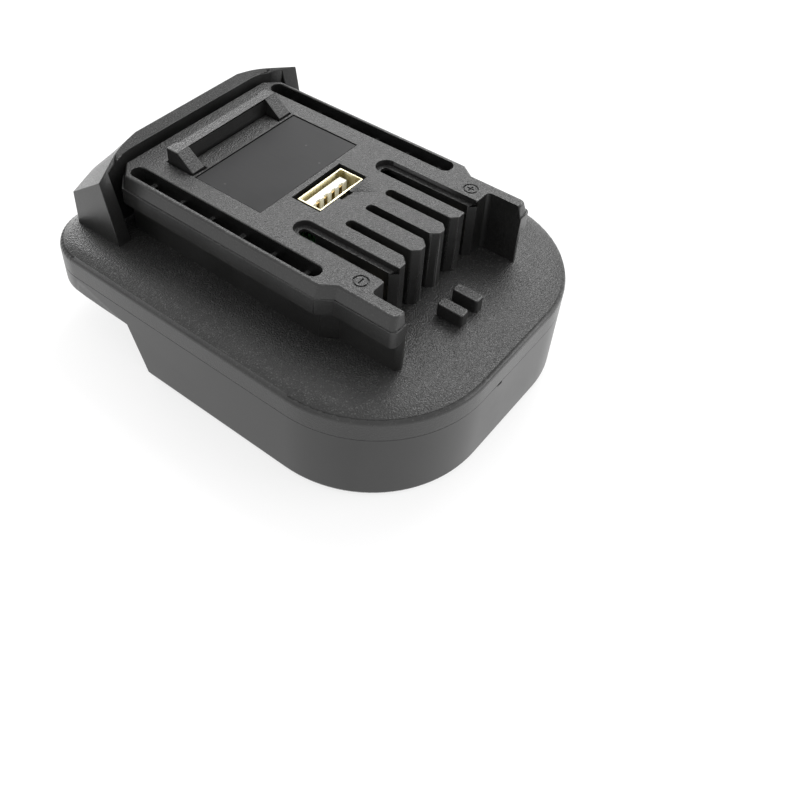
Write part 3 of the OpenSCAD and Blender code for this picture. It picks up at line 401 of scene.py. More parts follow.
@dataclass(frozen=True)
class MouldedPlastic(Finish):
    """Plastic from a spark-eroded mould."""

    side_rough: float = 0.3
    grain: float = 3000.0
    depth: float = 0.11
    # glints are painted highlights: a share of grain cells whose colour is made far lighter, and which are smoother
    glint: float = 0.8
    painted_glint_gain: float = 8.0
    painted_glint_rough: float = -0.12
    mottle: float = 0.5
    spread: Pair = (0.7, 1.3)
    side_share: float = 0.2
    cloud: float = 60.0
    cloud_rough: float = 0.06
    dust: float = 0.05
    dust_scale: float = 260.0
    # rounded edges: colour gain (wear and painted highlight), less roughness, weaker grain
    wear_and_highlight_gain: float = 1.35
    worn_ease: float = 0.07
    worn_depth: float = 0.3

    def material(self, wear_and_highlight: bool = False) -> bpy.types.Material:
        """Grain, painted glints and dust on the upper faces, a calmer surface on the sides; the glints are painted
        highlights, cells of far lighter colour.

        Args:
            wear_and_highlight: True for the edges, which handling has made smoother, and whose colour is lighter,
                partly from wear and partly as a painted highlight.

        Returns:
            The material.
        """
        made, graph, shader, place = self.start("_edge" if wear_and_highlight else "")
        # on the rounded edges the colour is lighter, partly wear and partly a painted highlight along the edges
        gain, ease, depth = (self.wear_and_highlight_gain, self.worn_ease, self.worn_depth) if wear_and_highlight else (1.0, 0.0, 1.0)
        top = graph.effect(Effect.TOP).outputs["Mask"]
        share = graph.span(top, 0.0, 1.0, (self.side_share, 1.0))
        grain = graph.effect(Effect.GRAIN, Vector=place, Scale=self.grain)
        cloud = graph.effect(Effect.CLOUD, Vector=place, Scale=self.cloud).outputs["Tone"]
        specks = graph.effect(Effect.SPECKS, Vector=place, Scale=self.dust_scale).outputs["Mask"]
        spot = graph.sum("MULTIPLY", graph.sum("SUBTRACT", grain.outputs["Height"], 0.5), share)
        tone = graph.sum("MULTIPLY_ADD", spot, self.mottle, cloud)
        base = graph.mix(tone, *(rgba(self.colour, part * gain) for part in self.spread))
        # painted glints: on a share of the grain's cells the colour turns far lighter, a painted highlight for
        # light sparkling off the grain
        glint = graph.sum("MULTIPLY", graph.sum("MULTIPLY", grain.outputs["Glint"], share), self.glint)
        base = graph.mix(glint, base, rgba(self.colour, self.painted_glint_gain))
        speck = graph.sum("MULTIPLY", graph.sum("MULTIPLY", specks, top), self.dust)
        graph.put(shader.inputs["Base Color"], graph.mix(speck, base, DUST))
        span = graph.span(top, 0.0, 1.0, (self.side_rough - ease, self.rough - ease))
        rough = graph.sum("MULTIPLY_ADD", cloud, self.cloud_rough, span)
        graph.put(shader.inputs["Roughness"], graph.sum("MULTIPLY_ADD", glint, self.painted_glint_rough, rough))
        self.emboss(graph, shader, grain.outputs["Height"], self.depth * depth, share)
        return made


@dataclass(frozen=True)
class SmoothSheet(Finish):
    """Smooth film or solder mask with faint wipe marks."""

    wipe: float = 0.25
    lines: float = 900.0
    stretch: Triple = (1.0, 0.12, 1.0)
    spread: Pair = (0.88, 1.14)
    ease: Pair = (-0.05, 0.07)
    depth: float = 0.004
    cloud: float = 110.0
    dust: float = 0.06
    dust_scale: float = 330.0
    wear_and_highlight_gain: float = 1.4

    def material(self, wear_and_highlight: bool = False) -> bpy.types.Material:
        """Wipe marks in the tone and the roughness, and a few specks of dust.

        Args:
            wear_and_highlight: True for the edges, whose colour is made lighter.

        Returns:
            The material.
        """
        made, graph, shader, place = self.start("_edge" if wear_and_highlight else "")
        wipe = graph.effect(Effect.LINES, Vector=place, Scale=self.lines, Stretch=self.stretch).outputs["Value"]
        cloud = graph.effect(Effect.CLOUD, Vector=place, Scale=self.cloud).outputs["Tone"]
        specks = graph.effect(Effect.SPECKS, Vector=place, Scale=self.dust_scale).outputs["Mask"]
        tone = graph.sum("MULTIPLY_ADD", wipe, self.wipe, graph.sum("MULTIPLY", cloud, 1.0 - self.wipe))
        gain = self.wear_and_highlight_gain if wear_and_highlight else 1.0
        base = graph.mix(tone, *(rgba(self.colour, part * gain) for part in self.spread))
        speck = graph.sum("MULTIPLY", specks, self.dust)
        graph.put(shader.inputs["Base Color"], graph.mix(speck, base, DUST))
        ends = tuple(self.rough + part for part in self.ease)
        graph.put(shader.inputs["Roughness"], graph.span(tone, 0.0, 1.0, ends))
        self.emboss(graph, shader, wipe, self.depth)
        return made


@dataclass(frozen=True)
class PlatedMetal(Finish):
    """Drawn or stamped metal with a thin plating."""

    tarnish: Triple = (0.3, 0.24, 0.14)
    stretch: Triple = (1.0, 1.0, 0.1)
    lines: float = 2600.0
    line_rough: float = 0.12
    ease: float = -0.05
    spread: Pair = (0.94, 1.05)
    depth: float = 0.006
    cloud: float = 420.0
    stain: float = 0.2
    stain_rough: float = 0.5
    worn_stain: float = 0.05
    wear_and_highlight_gain: float = 1.08

    def material(self, wear_and_highlight: bool = False) -> bpy.types.Material:
        """Drawn lines in the roughness, and a little tarnish in clouds.

        Args:
            wear_and_highlight: True for the edges, which are rubbed bright.

        Returns:
            The material.
        """
        made, graph, shader, place = self.start("_edge" if wear_and_highlight else "")
        shader.inputs["Metallic"].default_value = 1.0
        lines = graph.effect(Effect.LINES, Vector=place, Scale=self.lines, Stretch=self.stretch).outputs["Value"]
        cloud = graph.effect(Effect.CLOUD, Vector=place, Scale=self.cloud).outputs["Tone"]
        gain, share = (self.wear_and_highlight_gain, self.worn_stain) if wear_and_highlight else (1.0, self.stain)
        base = graph.mix(lines, *(rgba(self.colour, part * gain) for part in self.spread))
        stain = graph.sum("MULTIPLY", cloud, share)
        graph.put(shader.inputs["Base Color"], graph.mix(stain, base, rgba(self.tarnish)))
        rough = graph.sum("MULTIPLY_ADD", lines, self.line_rough, self.rough + self.ease)
        graph.put(shader.inputs["Roughness"], graph.sum("MULTIPLY_ADD", stain, self.stain_rough, rough))
        self.emboss(graph, shader, lines, self.depth)
        return made


class Finishes:
    """The adapter's finishes."""

    BLACK = (0.009, 0.009, 0.0088)
    COVER = MouldedPlastic("cover_plastic", BLACK, 0.37)
    SHELL = MouldedPlastic("shell_plastic", BLACK, 0.34, grain=4200.0, glint=0.1, depth=0.012)
    LATCH = MouldedPlastic("latch_plastic", BLACK, 0.37)
    CARRIER = MouldedPlastic("carrier_plastic", (0.02, 0.02, 0.02), 0.4, glint=0.1, depth=0.01, dust=0.0)
    CHIP = MouldedPlastic("chip_plastic", (0.02, 0.02, 0.021), 0.5, glint=0.15, depth=0.01, dust=0.0)
    FERRITE = MouldedPlastic("choke_ferrite", (0.05, 0.05, 0.055), 0.6, glint=0.3, depth=0.03, dust=0.0)
    TONGUE = MouldedPlastic("port_white", (0.88, 0.86, 0.7), 0.35, glint=0.02, depth=0.004, dust=0.0)
    LABEL = SmoothSheet("label_film", (0.008, 0.008, 0.0085), 0.34, shine=0.17)
    BOARD = SmoothSheet("board_mask", (0.03, 0.17, 0.07), 0.3)
    BLACK_LEAD = SmoothSheet("lead_black", (0.02, 0.02, 0.02), 0.4)
    RED_LEAD = SmoothSheet("lead_red", (0.45, 0.02, 0.02), 0.4)
    YELLOW_LEAD = SmoothSheet("lead_yellow", (0.6, 0.42, 0.03), 0.4)
    PORT = PlatedMetal("port_nickel", (0.84, 0.78, 0.55), 0.24)
    CONTACT = PlatedMetal("contact_plate", (0.8, 0.7, 0.48), 0.24)
    GOLD = PlatedMetal("contact_gold", (0.83, 0.62, 0.28), 0.25)
    CAN = PlatedMetal("can_aluminium", (0.74, 0.75, 0.76), 0.3, tarnish=(0.5, 0.5, 0.5))
    SCREW = PlatedMetal("screw_zinc", (0.5, 0.5, 0.52), 0.34, tarnish=(0.25, 0.25, 0.26), stretch=(1.0, 0.1, 1.0))
    SPRING = PlatedMetal("spring_wire", (0.62, 0.62, 0.64), 0.28, tarnish=(0.3, 0.3, 0.3))


@dataclass(frozen=True)
class EdgeRule:
    """Rounding of the sharp edges whose middle lies in one box, in millimetres."""

    low: Triple
    high: Triple
    width: float

    @classmethod
    def level(cls, height: float, width: float) -> "EdgeRule":
        """Rule for all edges at one height."""
        return cls((-FAR, -FAR, height - NEAR), (FAR, FAR, height + NEAR), width)

    @classmethod
    def pair(cls, low: Triple, high: Triple, width: float) -> tuple["EdgeRule", "EdgeRule"]:
        """Rules for a box on the right of the case and for its mirror image on the left.

        Args:
            low: Least corner of the box.
            high: Greatest corner of the box.
            width: Width of the rounding.

        Returns:
            The two rules.
        """
        return cls(low, high, width), cls((-high[0], *low[1:]), (-low[0], *high[1:]), width)


@dataclass
class EdgeTable:
    """What the edges of a mesh look like, as whole arrays."""

    middle: np.ndarray
    angle: np.ndarray
    outward: np.ndarray

    @classmethod
    def of(cls, mesh: bpy.types.Mesh) -> "EdgeTable":
        """Measures every edge.

        The angle is that between the normals of the edge's two faces. An edge points outward when the
        second face's middle lies behind the first face's plane. Beside a wide face with holes, whose middle
        can lie anywhere, this may take an outward edge for an inward one; such edges are left crisp by a rule.

        Args:
            mesh: A mesh whose doubles are merged.

        Returns:
            The table, with an angle of 0 where an edge hasn't two faces.
        """
        count = len(mesh.edges)
        points = read(mesh.vertices, "co", 3)
        ends = read(mesh.edges, "vertices", 2, np.int32)
        loop_edge = read(mesh.loops, "edge_index", 1, np.int32)[:, 0]
        sides = read(mesh.polygons, "loop_total", 1, np.int32)[:, 0]
        normal = read(mesh.polygons, "normal", 3)
        centre = read(mesh.polygons, "center", 3)
        face = np.repeat(np.arange(len(sides)), sides)
        order = np.argsort(loop_edge, kind="stable")
        first = np.searchsorted(loop_edge[order], np.arange(count))
        second = np.minimum(first + 1, len(order) - 1)
        one, two = face[order[np.minimum(first, len(order) - 1)]], face[order[second]]
        pair = np.bincount(loop_edge, minlength=count) == 2
        cosine = np.clip(np.einsum("ij,ij->i", normal[one], normal[two]), -1, 1)
        behind = np.einsum("ij,ij->i", centre[two] - centre[one], normal[one])
        middle = points[ends].mean(1) / MM
        return cls(middle, np.where(pair, np.arccos(cosine), 0.0), behind < 0)


def read(items: bpy.types.bpy_prop_collection, name: str, width: int, kind: type = np.float32) -> np.ndarray:
    """Reads one property of all items.

    Args:
        items: A collection of a mesh.
        name: The property.
        width: Numbers per item.
        kind: Number type.

    Returns:
        An array of one row per item.
    """
    flat = np.empty(len(items) * width, kind)
    items.foreach_get(name, flat)
    return flat.reshape(-1, width)


def settle(piece: bpy.types.Object, body: Body, finish: Finish, *nodes: str) -> bpy.types.Object:
    """Dresses a piece, ties it to its body and lets it stand for its nodes.

    Args:
        piece: The piece, at the origin.
        body: The body that it moves with.
        finish: Its finish.
        *nodes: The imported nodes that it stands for.

    Returns:
        The piece.
    """
    piece.data.materials.clear()
    for material in finish.materials():
        piece.data.materials.append(material)
    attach(piece, body.value)
    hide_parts(*nodes)
    LOG.info("%s: %d faces, rides on %s", piece.name, len(piece.data.polygons), body.value)
    return piece


def link(name: str, mesh: bpy.types.Mesh) -> bpy.types.Object:
    """Puts a mesh into the scene.

    Args:
        name: Name of the piece.
        mesh: Its mesh, in place.

    Returns:
        The object, at the origin.
    """
    made = bpy.data.objects.new(name, mesh)
    bpy.context.scene.collection.objects.link(made)
    return made


@dataclass
class SoftPart:
    """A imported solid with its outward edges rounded, and its flat faces at one kept height left as they are."""

    node: str
    finish: Finish
    width: float
    rules: tuple[EdgeRule, ...] = ()
    body: Body = Body.CASE
    segments: int = 2
    kept: float = math.inf

    def mesh(self) -> bpy.types.Mesh:
        """Copies the node's mesh, merges its doubles and evens out its flat triangles.

        Returns:
            The copy.
        """
        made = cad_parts[self.node].data.copy()
        made.name = self.node + "_soft"
        work = bmesh.new()
        work.from_mesh(made)
        bmesh.ops.remove_doubles(work, verts=work.verts, dist=WELD)
        bmesh.ops.dissolve_degenerate(work, dist=SLIVER, edges=work.edges)
        loose = [edge for edge in work.edges if not self.holds(edge)]
        bmesh.ops.dissolve_limit(work, angle_limit=FLAT, verts=work.verts, edges=loose)
        work.to_mesh(made)
        work.free()
        return made

    def holds(self, edge: bmesh.types.BMEdge) -> bool:
        """Tells whether an edge lies at the kept height."""
        return all(abs(end.co.z / MM - self.kept) < SLACK for end in edge.verts)

    def widths(self, table: EdgeTable) -> np.ndarray:
        """Gives every edge the width of its rounding.

        Sharp outward edges take the part's width, or that of the last rule whose box holds their middle.

        Args:
            table: The mesh's edges.

        Returns:
            One width per edge, in millimetres.
        """
        wanted = np.full(len(table.angle), self.width)
        for rule in self.rules:
            wanted[np.all((table.middle >= rule.low) & (table.middle <= rule.high), axis=1)] = rule.width
        return np.where((table.angle > SHARP) & table.outward, wanted, 0.0)

    def build(self) -> bpy.types.Object:
        """Builds the softened copy.

        Returns:
            The piece.
        """
        mesh = self.mesh()
        table = EdgeTable.of(mesh)
        widths = self.widths(table)
        most = max(float(widths.max()), 1e-3)
        weight = mesh.attributes.new("bevel_weight_edge", "FLOAT", "EDGE")
        weight.data.foreach_set("value", (widths / most).astype(np.float32))
        hard = mesh.attributes.get("sharp_edge") or mesh.attributes.new("sharp_edge", "BOOLEAN", "EDGE")
        hard.data.foreach_set("value", table.angle > SHARP)
        mesh.polygons.foreach_set("use_smooth", np.ones(len(mesh.polygons), bool))
        mesh.polygons.foreach_set("material_index", np.zeros(len(mesh.polygons), np.int32))
        piece = link(self.node + "_soft", mesh)
        bevel = piece.modifiers.new("edges", "BEVEL")
        bevel.limit_method = "WEIGHT"
        bevel.width = most * MM
        bevel.segments = self.segments
        bevel.use_clamp_overlap = False
        bevel.loop_slide = False
        bevel.harden_normals = True
        bevel.material = 1
        return settle(piece, self.body, self.finish, self.node)


def tube(path: np.ndarray, radius: float, sides: int) -> tuple[np.ndarray, np.ndarray]:
    """Carries a circle along a path.

    At each point the circle lies across the path's direction. Its first axis is square to that direction
    and to a fixed guide, which keeps the circles from twisting along the path.

    Args:
        path: Points in millimetres, one row each.
        radius: Radius of the circle.
        sides: Corners of the circle.

    Returns:
        Vertices and quads, with both ends closed by fans.
    """
    along = np.gradient(path, axis=0)
    along /= np.linalg.norm(along, axis=1, keepdims=True)
    guide = np.array([1.0, 0.0, 0.0]) if np.abs(along[:, 0]).max() < 0.5 else np.array([0.0, 0.0, 1.0])
    across = np.cross(along, guide)
    across /= np.linalg.norm(across, axis=1, keepdims=True)
    other = np.cross(along, across)
    turn = np.linspace(0, 2 * np.pi, sides, endpoint=False)
    ring = np.cos(turn)[None, :, None] * across[:, None] + np.sin(turn)[None, :, None] * other[:, None]
    verts = (path[:, None] + radius * ring).reshape(-1, 3)
    rows, cols = np.meshgrid(np.arange(len(path) - 1), np.arange(sides), indexing="ij")
    a, b = rows * sides + cols, rows * sides + (cols + 1) % sides
    quads = np.stack([a, a + sides, b + sides, b], -1).reshape(-1, 4)
    caps = np.vstack([verts, path[:1], path[-1:]])
    k = np.arange(sides)
    near = np.stack([np.full(sides, len(verts)), k, (k + 1) % sides, (k + 1) % sides], -1)
    base = (len(path) - 1) * sides
    far = np.stack([np.full(sides, len(verts) + 1), base + (k + 1) % sides, base + k, base + k], -1)
    return caps, np.vstack([quads, near, far])


def surface(name: str, parts: list[tuple[np.ndarray, np.ndarray]]) -> bpy.types.Object:
    """Makes one piece of several closed surfaces.

    Args:
        name: Name of the piece.
        parts: Vertices in millimetres and faces of each surface; a face whose last two corners agree is a triangle.

    Returns:
        The piece.
    """
    starts = np.cumsum([0] + [len(verts) for verts, _ in parts])
    verts = np.vstack([verts for verts, _ in parts]) * MM
    faces = np.vstack([quads + start for (_, quads), start in zip(parts, starts)])
    flat = faces[:, 2] == faces[:, 3]
    mesh = bpy.data.meshes.new(name)
    mesh.from_pydata(verts.tolist(), [], faces[~flat].tolist() + faces[flat][:, :3].tolist())
    mesh.polygons.foreach_set("use_smooth", np.ones(len(mesh.polygons), bool))
    work = bmesh.new()
    work.from_mesh(mesh)
    bmesh.ops.recalc_face_normals(work, faces=work.faces)
    work.to_mesh(mesh)
    work.free()
    return link(name, mesh)


@dataclass
class Case:
    """The two mouldings of the case, and the label."""

    edge: float = 0.28
    rim: float = 0.9
    foot: float = 0.8
    seam: float = 0.12
    hood: float = 0.13
    flange: float = 0.38
    finger: float = 0.18
    slight: float = 0.1
    least: float = 0.05
    under: float = 29.3
    seat: float = 3.1
    screw_x: float = 29.2
    screw_ys: Pair = (-24.2, 9.6)

    def cover_rules(self) -> tuple[EdgeRule, ...]:
        """Roundings of the cover; where boxes overlap, the last one counts."""
        return (
            EdgeRule.level(16.0, self.seam),  # parting line
            EdgeRule.level(20.7, self.rim),  # top of the skirt
            EdgeRule.level(22.0, self.slight),  # shelf
            EdgeRule((-25.0, -34.0, 29.2), (25.0, 36.0, 29.4), 0.0),  # underside of the flange
            EdgeRule((-15.4, -23.0, 22.2), (15.4, -2.0, 31.6), self.least),  # feet of the fingers
            EdgeRule((-15.4, -26.0, 33.0), (15.4, -2.4, 36.0), self.finger),  # tops of the fingers
            EdgeRule((-18.7, -26.0, 33.0), (18.7, -24.4, 36.0), self.finger),  # between the wings
            EdgeRule((-15.2, 3.0, 35.0), (15.2, 21.2, 36.0), 0.06),  # label recess
            EdgeRule((-7.6, -5.6, 33.0), (7.6, 2.8, 36.0), 0.12),  # port opening
            *EdgeRule.pair((15.7, -23.8, 35.0), (18.9, -20.6, 36.0), 0.0),  # polarity marks
            EdgeRule((-29.0, 35.2, 22.2), (29.0, FAR, 39.5), self.hood),
            *EdgeRule.pair((23.0, 28.0, 22.2), (29.0, FAR, 39.5), self.hood),  # legs of the hood
            *EdgeRule.pair((22.5, -33.3, 35.4), (23.1, 31.8, 35.6), self.flange),  # long sides of the plate
            *EdgeRule.pair((18.7, -33.3, 35.4), (23.1, -17.0, 35.6), self.flange),  # tops of the wings
            *EdgeRule.pair((18.5, -33.3, 29.5), (25.0, 35.0, 35.3), self.slight),  # sides of the flange
            EdgeRule((-25.0, 34.0, 29.5), (25.0, 35.1, 35.3), self.slight),  # rear of the flange
            *EdgeRule.pair((18.0, -33.3, 22.2), (25.0, 35.0, 29.1), self.least),  # web
            *EdgeRule.pair((9.5, -26.0, 22.2), (15.4, -23.0, 34.0), self.least),  # tips of the outer fingers
            *EdgeRule.pair((17.4, -26.6, 21.9), (18.75, -25.2, 35.3), 0.0),  # inner feet of the wings
        )

    def shell_rules(self) -> tuple[EdgeRule, ...]:
        """Roundings of the lower shell, with the rims of the four screw holes left crisp."""
        reach = self.seat
        spots = [(side * self.screw_x, y) for side in (-1, 1) for y in self.screw_ys]
        holes = [((x - reach, y - reach, -NEAR), (x + reach, y + reach, NEAR)) for x, y in spots]
        return (
            EdgeRule((-FAR, -FAR, 15.0), (FAR, FAR, 18.0), self.seam),  # parting line
            EdgeRule.level(0.0, self.foot),
            *(EdgeRule(low, high, 0.0) for low, high in holes),
        )

    def build(self) -> None:
        """Builds the cover, the lower shell and the label."""
        SoftPart("top_cover", Finishes.COVER, self.edge, self.cover_rules(), kept=self.under).build()
        SoftPart("lower_shell", Finishes.SHELL, 0.3, self.shell_rules()).build()
        SoftPart("label_plate", Finishes.LABEL, 0.06).build()


@dataclass
class Latch:
    """The sprung latch and its two springs."""

    wire: float = 0.6
    turns: int = 7
    steps: int = 28
    sides: int = 10
    rest: float = 10.2
    stroke: float = 4.0

    def coil(self, x: float, y: float, low: float, high: float, radius: float) -> tuple[np.ndarray, np.ndarray]:
        """One compression spring with closed ends.

        The wire's centre runs round a circle while its height rises slowly over the first and last
        turn, by one wire, and evenly between them.

        Args:
            x: Middle of the spring.
            y: Middle of the spring.
            low: Height of its lower end.
            high: Height of its upper end.
            radius: Radius of the wire's centre line.

        Returns:
            Vertices and faces.
        """
        turn = np.linspace(0, self.turns, self.turns * self.steps + 1)
        half = self.wire / 2
        knots = [0, 1, self.turns - 1, self.turns]
        height = np.interp(turn, knots, [low + half, low + half + self.wire, high - half - self.wire, high - half])
        angle = 2 * np.pi * turn
        path = np.stack([x + radius * np.cos(angle), y + radius * np.sin(angle), height], 1)
        return tube(path, half, self.sides)

    def build(self) -> None:
        """Builds the latch and its springs."""
        SoftPart("release_latch", Finishes.LATCH, 0.18, body=Body.LATCH).build()
        low, high = (np.array(corner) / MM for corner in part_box("latch_springs"))
        radius = (high[1] - low[1]) / 2 - self.wire / 2
        middle = (low[1] + high[1]) / 2
        reach = high[0] - radius - self.wire / 2
        parts = [self.coil(side * reach, middle, low[2], high[2], radius) for side in (-1, 1)]
        piece = settle(surface("latch_coils", parts), Body.CASE, Finishes.SPRING, "latch_springs")
        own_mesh(piece)


@dataclass
class ChargingPort:
    """The charging port: shell, tongue and strips."""

    def build(self) -> None:
        """Builds the port's three pieces."""
        SoftPart("usb_shell", Finishes.PORT, 0.1).build()
        SoftPart("usb_insulator", Finishes.TONGUE, 0.12).build()
        SoftPart("usb_contacts", Finishes.GOLD, 0.05).build()


@dataclass
class Contacts:
    """The tool's spring contacts and the donor pack's blades."""

    clips: tuple[str, ...] = ("negative_clip", "positive_clip", "left_signal_clip", "right_signal_clip")
    blades: tuple[str, ...] = ("negative_blade", "positive_blade", "signal_blade")

    def build(self) -> None:
        """Builds the contacts and what holds them."""
        for node in self.clips:
            SoftPart(node, Finishes.CONTACT, 0.12).build()
        for node in self.blades:
            SoftPart(node, Finishes.CONTACT, 0.2).build()
        SoftPart("contact_carrier", Finishes.CARRIER, 0.2).build()
        SoftPart("blade_block", Finishes.CARRIER, 0.25).build()


@dataclass
class Electronics:
    """The converter board and the leads to it."""

    lead_sides: int = 14
    bend: float = 1.4
    bend_steps: int = 9
    bend_share: float = 0.45
    run_share: float = 0.25

    def path(self, node: str, blade: str) -> tuple[np.ndarray, float]:
        """Route of a lead from its blade's tail up to the board, with rounded corners.

        Its level stretch runs a share of the way down from the board. Each corner is a quadratic curve that
        starts and ends one bend away from the corner.

        Args:
            node: The lead's node.
            blade: The blade that it starts from.

        Returns:
            Points in millimetres, and the lead's radius.
        """
        low, high = (np.array(corner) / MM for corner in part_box(node))
        radius, x = (high[0] - low[0]) / 2, (high[0] + low[0]) / 2
        start, front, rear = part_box(blade)[0][1] / MM, low[1] + radius, high[1] - radius
        floor, board = low[2] + radius, high[2]
        run = board - self.run_share * (board - floor)
        knots = np.array([[x, start, floor], [x, front, floor], [x, front, run], [x, rear, run], [x, rear, board]])
        before = knots[1:-1] + self.toward(knots[1:-1], knots[:-2])
        after = knots[1:-1] + self.toward(knots[1:-1], knots[2:])
        s = np.linspace(0, 1, self.bend_steps)[None, :, None]
        curve = (1 - s) ** 2 * before[:, None] + 2 * s * (1 - s) * knots[1:-1, None] + s**2 * after[:, None]
        return np.vstack([knots[:1], curve.reshape(-1, 3), knots[-1:]]), radius

    def toward(self, here: np.ndarray, there: np.ndarray) -> np.ndarray:
        """Steps from points towards others, by the bend or by its share of the way where that is shorter."""
        way = there - here
        length = np.linalg.norm(way, axis=1, keepdims=True)
        return way / length * np.minimum(self.bend, self.bend_share * length)

    def build(self) -> None:
        """Builds the board, its components, the leads and the screws."""
        SoftPart("circuit_board", Finishes.BOARD, 0.1).build()
        SoftPart("power_inductor", Finishes.FERRITE, 0.1).build()
        SoftPart("filter_capacitors", Finishes.CAN, 0.4, segments=3).build()
        SoftPart("converter_chip", Finishes.CHIP, 0.15).build()
        SoftPart("chip_resistors", Finishes.CHIP, 0.08).build()
        leads = (
            ("negative_lead", "negative_blade", Finishes.BLACK_LEAD),
            ("positive_lead", "positive_blade", Finishes.RED_LEAD),
            ("signal_lead", "signal_blade", Finishes.YELLOW_LEAD),
        )
        for node, blade, finish in leads:
            route, radius = self.path(node, blade)
            settle(surface(node + "_wire", [tube(route, radius, self.lead_sides)]), Body.CASE, finish, node)
        SoftPart("board_screws", Finishes.SCREW, 0.04).build()
        SoftPart("case_screws", Finishes.SCREW, 0.06).build()


@dataclass(frozen=True)
class Softbox:
    """A square studio light, placed in metres, with its brightness as seen."""

    name: str
    place: Triple
    size: float
    bright: float

    def build(self) -> None:
        """Makes the light and aims it at the adapter."""
        light = bpy.data.lights.new(self.name, "AREA")
        light.size = self.size
        light.energy = self.bright * math.pi * self.size**2
        made = bpy.data.objects.new(self.name, light)
        made.location = self.place
        aim = Vector(AIM) - Vector(self.place)
        made.rotation_euler = aim.to_track_quat("-Z", "Y").to_euler()
        made.visible_camera = False
        bpy.context.scene.collection.objects.link(made)


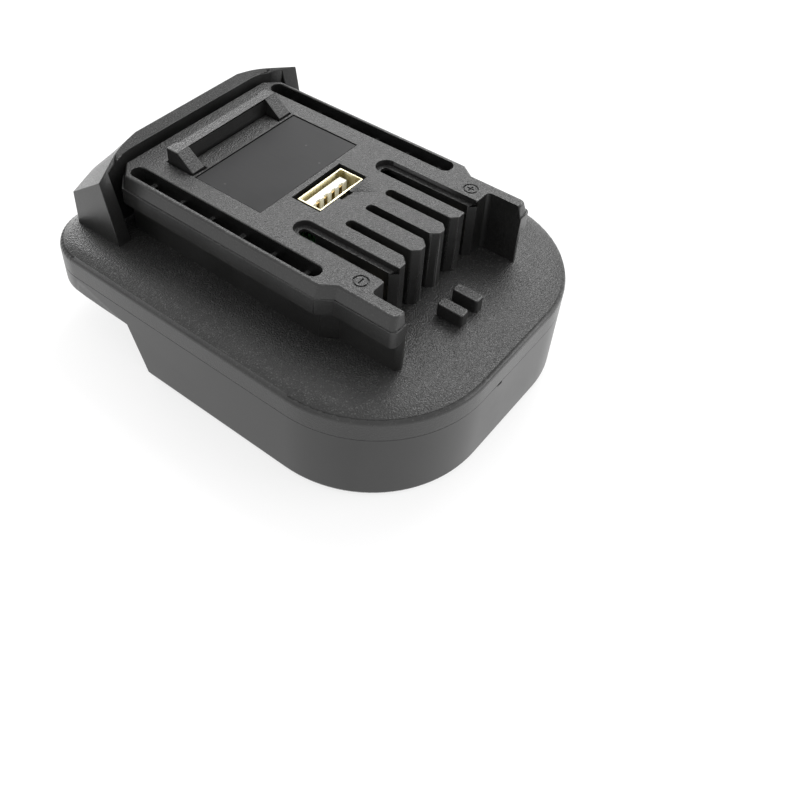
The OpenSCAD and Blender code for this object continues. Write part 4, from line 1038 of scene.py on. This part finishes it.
@dataclass
class Studio:
    """Camera, pale floor and soft light."""

    eye: Triple = (-0.1146, -0.0931, 0.1455)
    azimuth: float = -52.29
    elevation: float = 44.84
    roll: float = -1.66
    focal: float = 941.3
    middle: Pair = (340.0, 320.0)
    picture: float = 800.0
    sensor: float = 36.0
    near: float = 0.005
    reach: float = 3.0
    drop: float = 0.0002
    paper: Pair = (0.9, 0.92)
    matt: float = 0.9
    world: float = 1.1
    glow: float = 0.72
    # glow of the floor as seen in reflections, above white: it lights the object's walls
    reflected_glow: float = 1.3
    boxes: tuple[Softbox, ...] = (
        Softbox("rear_softbox", (0.34, 0.95, 0.2), 0.6, 6.0),
        Softbox("far_softbox", (0.81, 0.59, 0.8), 1.0, 1.1),
        Softbox("key_softbox", (0.6, 0.14, 0.68), 0.5, 6.5),
        Softbox("front_softbox", (0.55, -0.72, 0.42), 0.6, 3.0),
    )

    def camera(self) -> None:
        """Sets the camera at the picture's viewing angle, with its small shift."""
        turn, rise, tilt = (math.radians(value) for value in (self.azimuth, self.elevation, self.roll))
        back = Vector((math.sin(turn) * math.cos(rise), -math.cos(turn) * math.cos(rise), math.sin(rise)))
        level = (-back).cross(Vector((0, 0, 1))).normalized()
        fall = (-back).cross(level)
        right = math.cos(tilt) * level + math.sin(tilt) * fall
        down = math.cos(tilt) * fall - math.sin(tilt) * level
        lens = bpy.data.cameras.new("camera")
        made = bpy.data.objects.new("camera", lens)
        bpy.context.scene.collection.objects.link(made)
        pose = Matrix((right, -down, back)).transposed().to_4x4()
        pose.translation = Vector(self.eye)
        made.matrix_world = pose
        lens.sensor_width = self.sensor
        lens.lens = self.focal / self.picture * self.sensor
        lens.shift_x = 0.5 - self.middle[0] / self.picture
        lens.shift_y = self.middle[1] / self.picture - 0.5
        lens.clip_start = self.near
        bpy.context.scene.camera = made

    def seen(self, graph: Graph) -> bpy.types.NodeSocket:
        """Mask of the rays that show the background: those of the camera, of gloss and of glass."""
        path = graph.node("ShaderNodeLightPath")
        shine = graph.sum("MAXIMUM", path.outputs["Is Glossy Ray"], path.outputs["Is Transmission Ray"])
        return graph.sum("MAXIMUM", path.outputs["Is Camera Ray"], shine)

    def floor(self) -> None:
        """Lays a pale floor that reads white and keeps a soft shadow; in the object's reflections it glows brighter
        than white and so lights the walls, though it is no lamp.
        """
        ends = np.array([-self.reach, self.reach])
        x, y = np.meshgrid(ends, ends, indexing="ij")
        verts = np.stack([x, y, np.full_like(x, -self.drop)], -1).reshape(-1, 3)
        mesh = bpy.data.meshes.new("floor")
        mesh.from_pydata(verts.tolist(), [], [(0, 2, 3, 1)])
        made = link("floor", mesh)
        paper = bpy.data.materials.new("floor_paper")
        paper.use_nodes = True
        graph = Graph(paper.node_tree)
        shader = paper.node_tree.nodes["Principled BSDF"]
        place = graph.node("ShaderNodeTexCoord").outputs["Object"]
        tone = graph.effect(Effect.CLOUD, Vector=place, Scale=8.0).outputs["Tone"]
        graph.put(shader.inputs["Base Color"], graph.mix(tone, *((part, part, part, 1.0) for part in self.paper)))
        shader.inputs["Roughness"].default_value = self.matt
        # the floor glows white to the camera and brighter than white to glossy rays, lighting the object's
        # reflections
        glow = graph.node("ShaderNodeEmission")
        gloss = graph.node("ShaderNodeLightPath").outputs["Is Glossy Ray"]
        graph.put(glow.inputs["Strength"], graph.span(gloss, 0.0, 1.0, (1.0, self.reflected_glow)))
        blend = graph.node("ShaderNodeMixShader")
        graph.put(blend.inputs[0], graph.sum("MULTIPLY", self.seen(graph), self.glow))
        graph.put(blend.inputs[1], shader.outputs[0])
        graph.put(blend.inputs[2], glow.outputs[0])
        end = next(node for node in paper.node_tree.nodes if node.type == "OUTPUT_MATERIAL")
        graph.put(end.inputs["Surface"], blend.outputs[0])
        mesh.materials.append(paper)

    def sky(self) -> None:
        """Fills the room with even light, and shows it white."""
        world = bpy.data.worlds.new("room")
        bpy.context.scene.world = world
        world.use_nodes = True
        graph = Graph(world.node_tree)
        light = world.node_tree.nodes["Background"]
        shown = graph.node("ShaderNodeLightPath").outputs["Is Camera Ray"]
        graph.put(light.inputs["Strength"], graph.span(shown, 0.0, 1.0, (self.world, 1.0)))
        light.inputs["Color"].default_value = (1.0, 1.0, 1.0, 1.0)

    def build(self) -> None:
        """Builds the whole studio."""
        self.camera()
        self.floor()
        self.sky()
        for box in self.boxes:
            box.build()
        bpy.context.scene.view_settings.view_transform = "Standard"


def main() -> None:
    """Builds the studio and every sub-assembly, in order."""
    logging.basicConfig(level=logging.INFO, format="%(message)s")
    for part in (Studio(), Case(), Latch(), ChargingPort(), Contacts(), Electronics()):
        part.build()
        LOG.info("%s done", type(part).__name__)


if __name__ == "__main__":
    main()
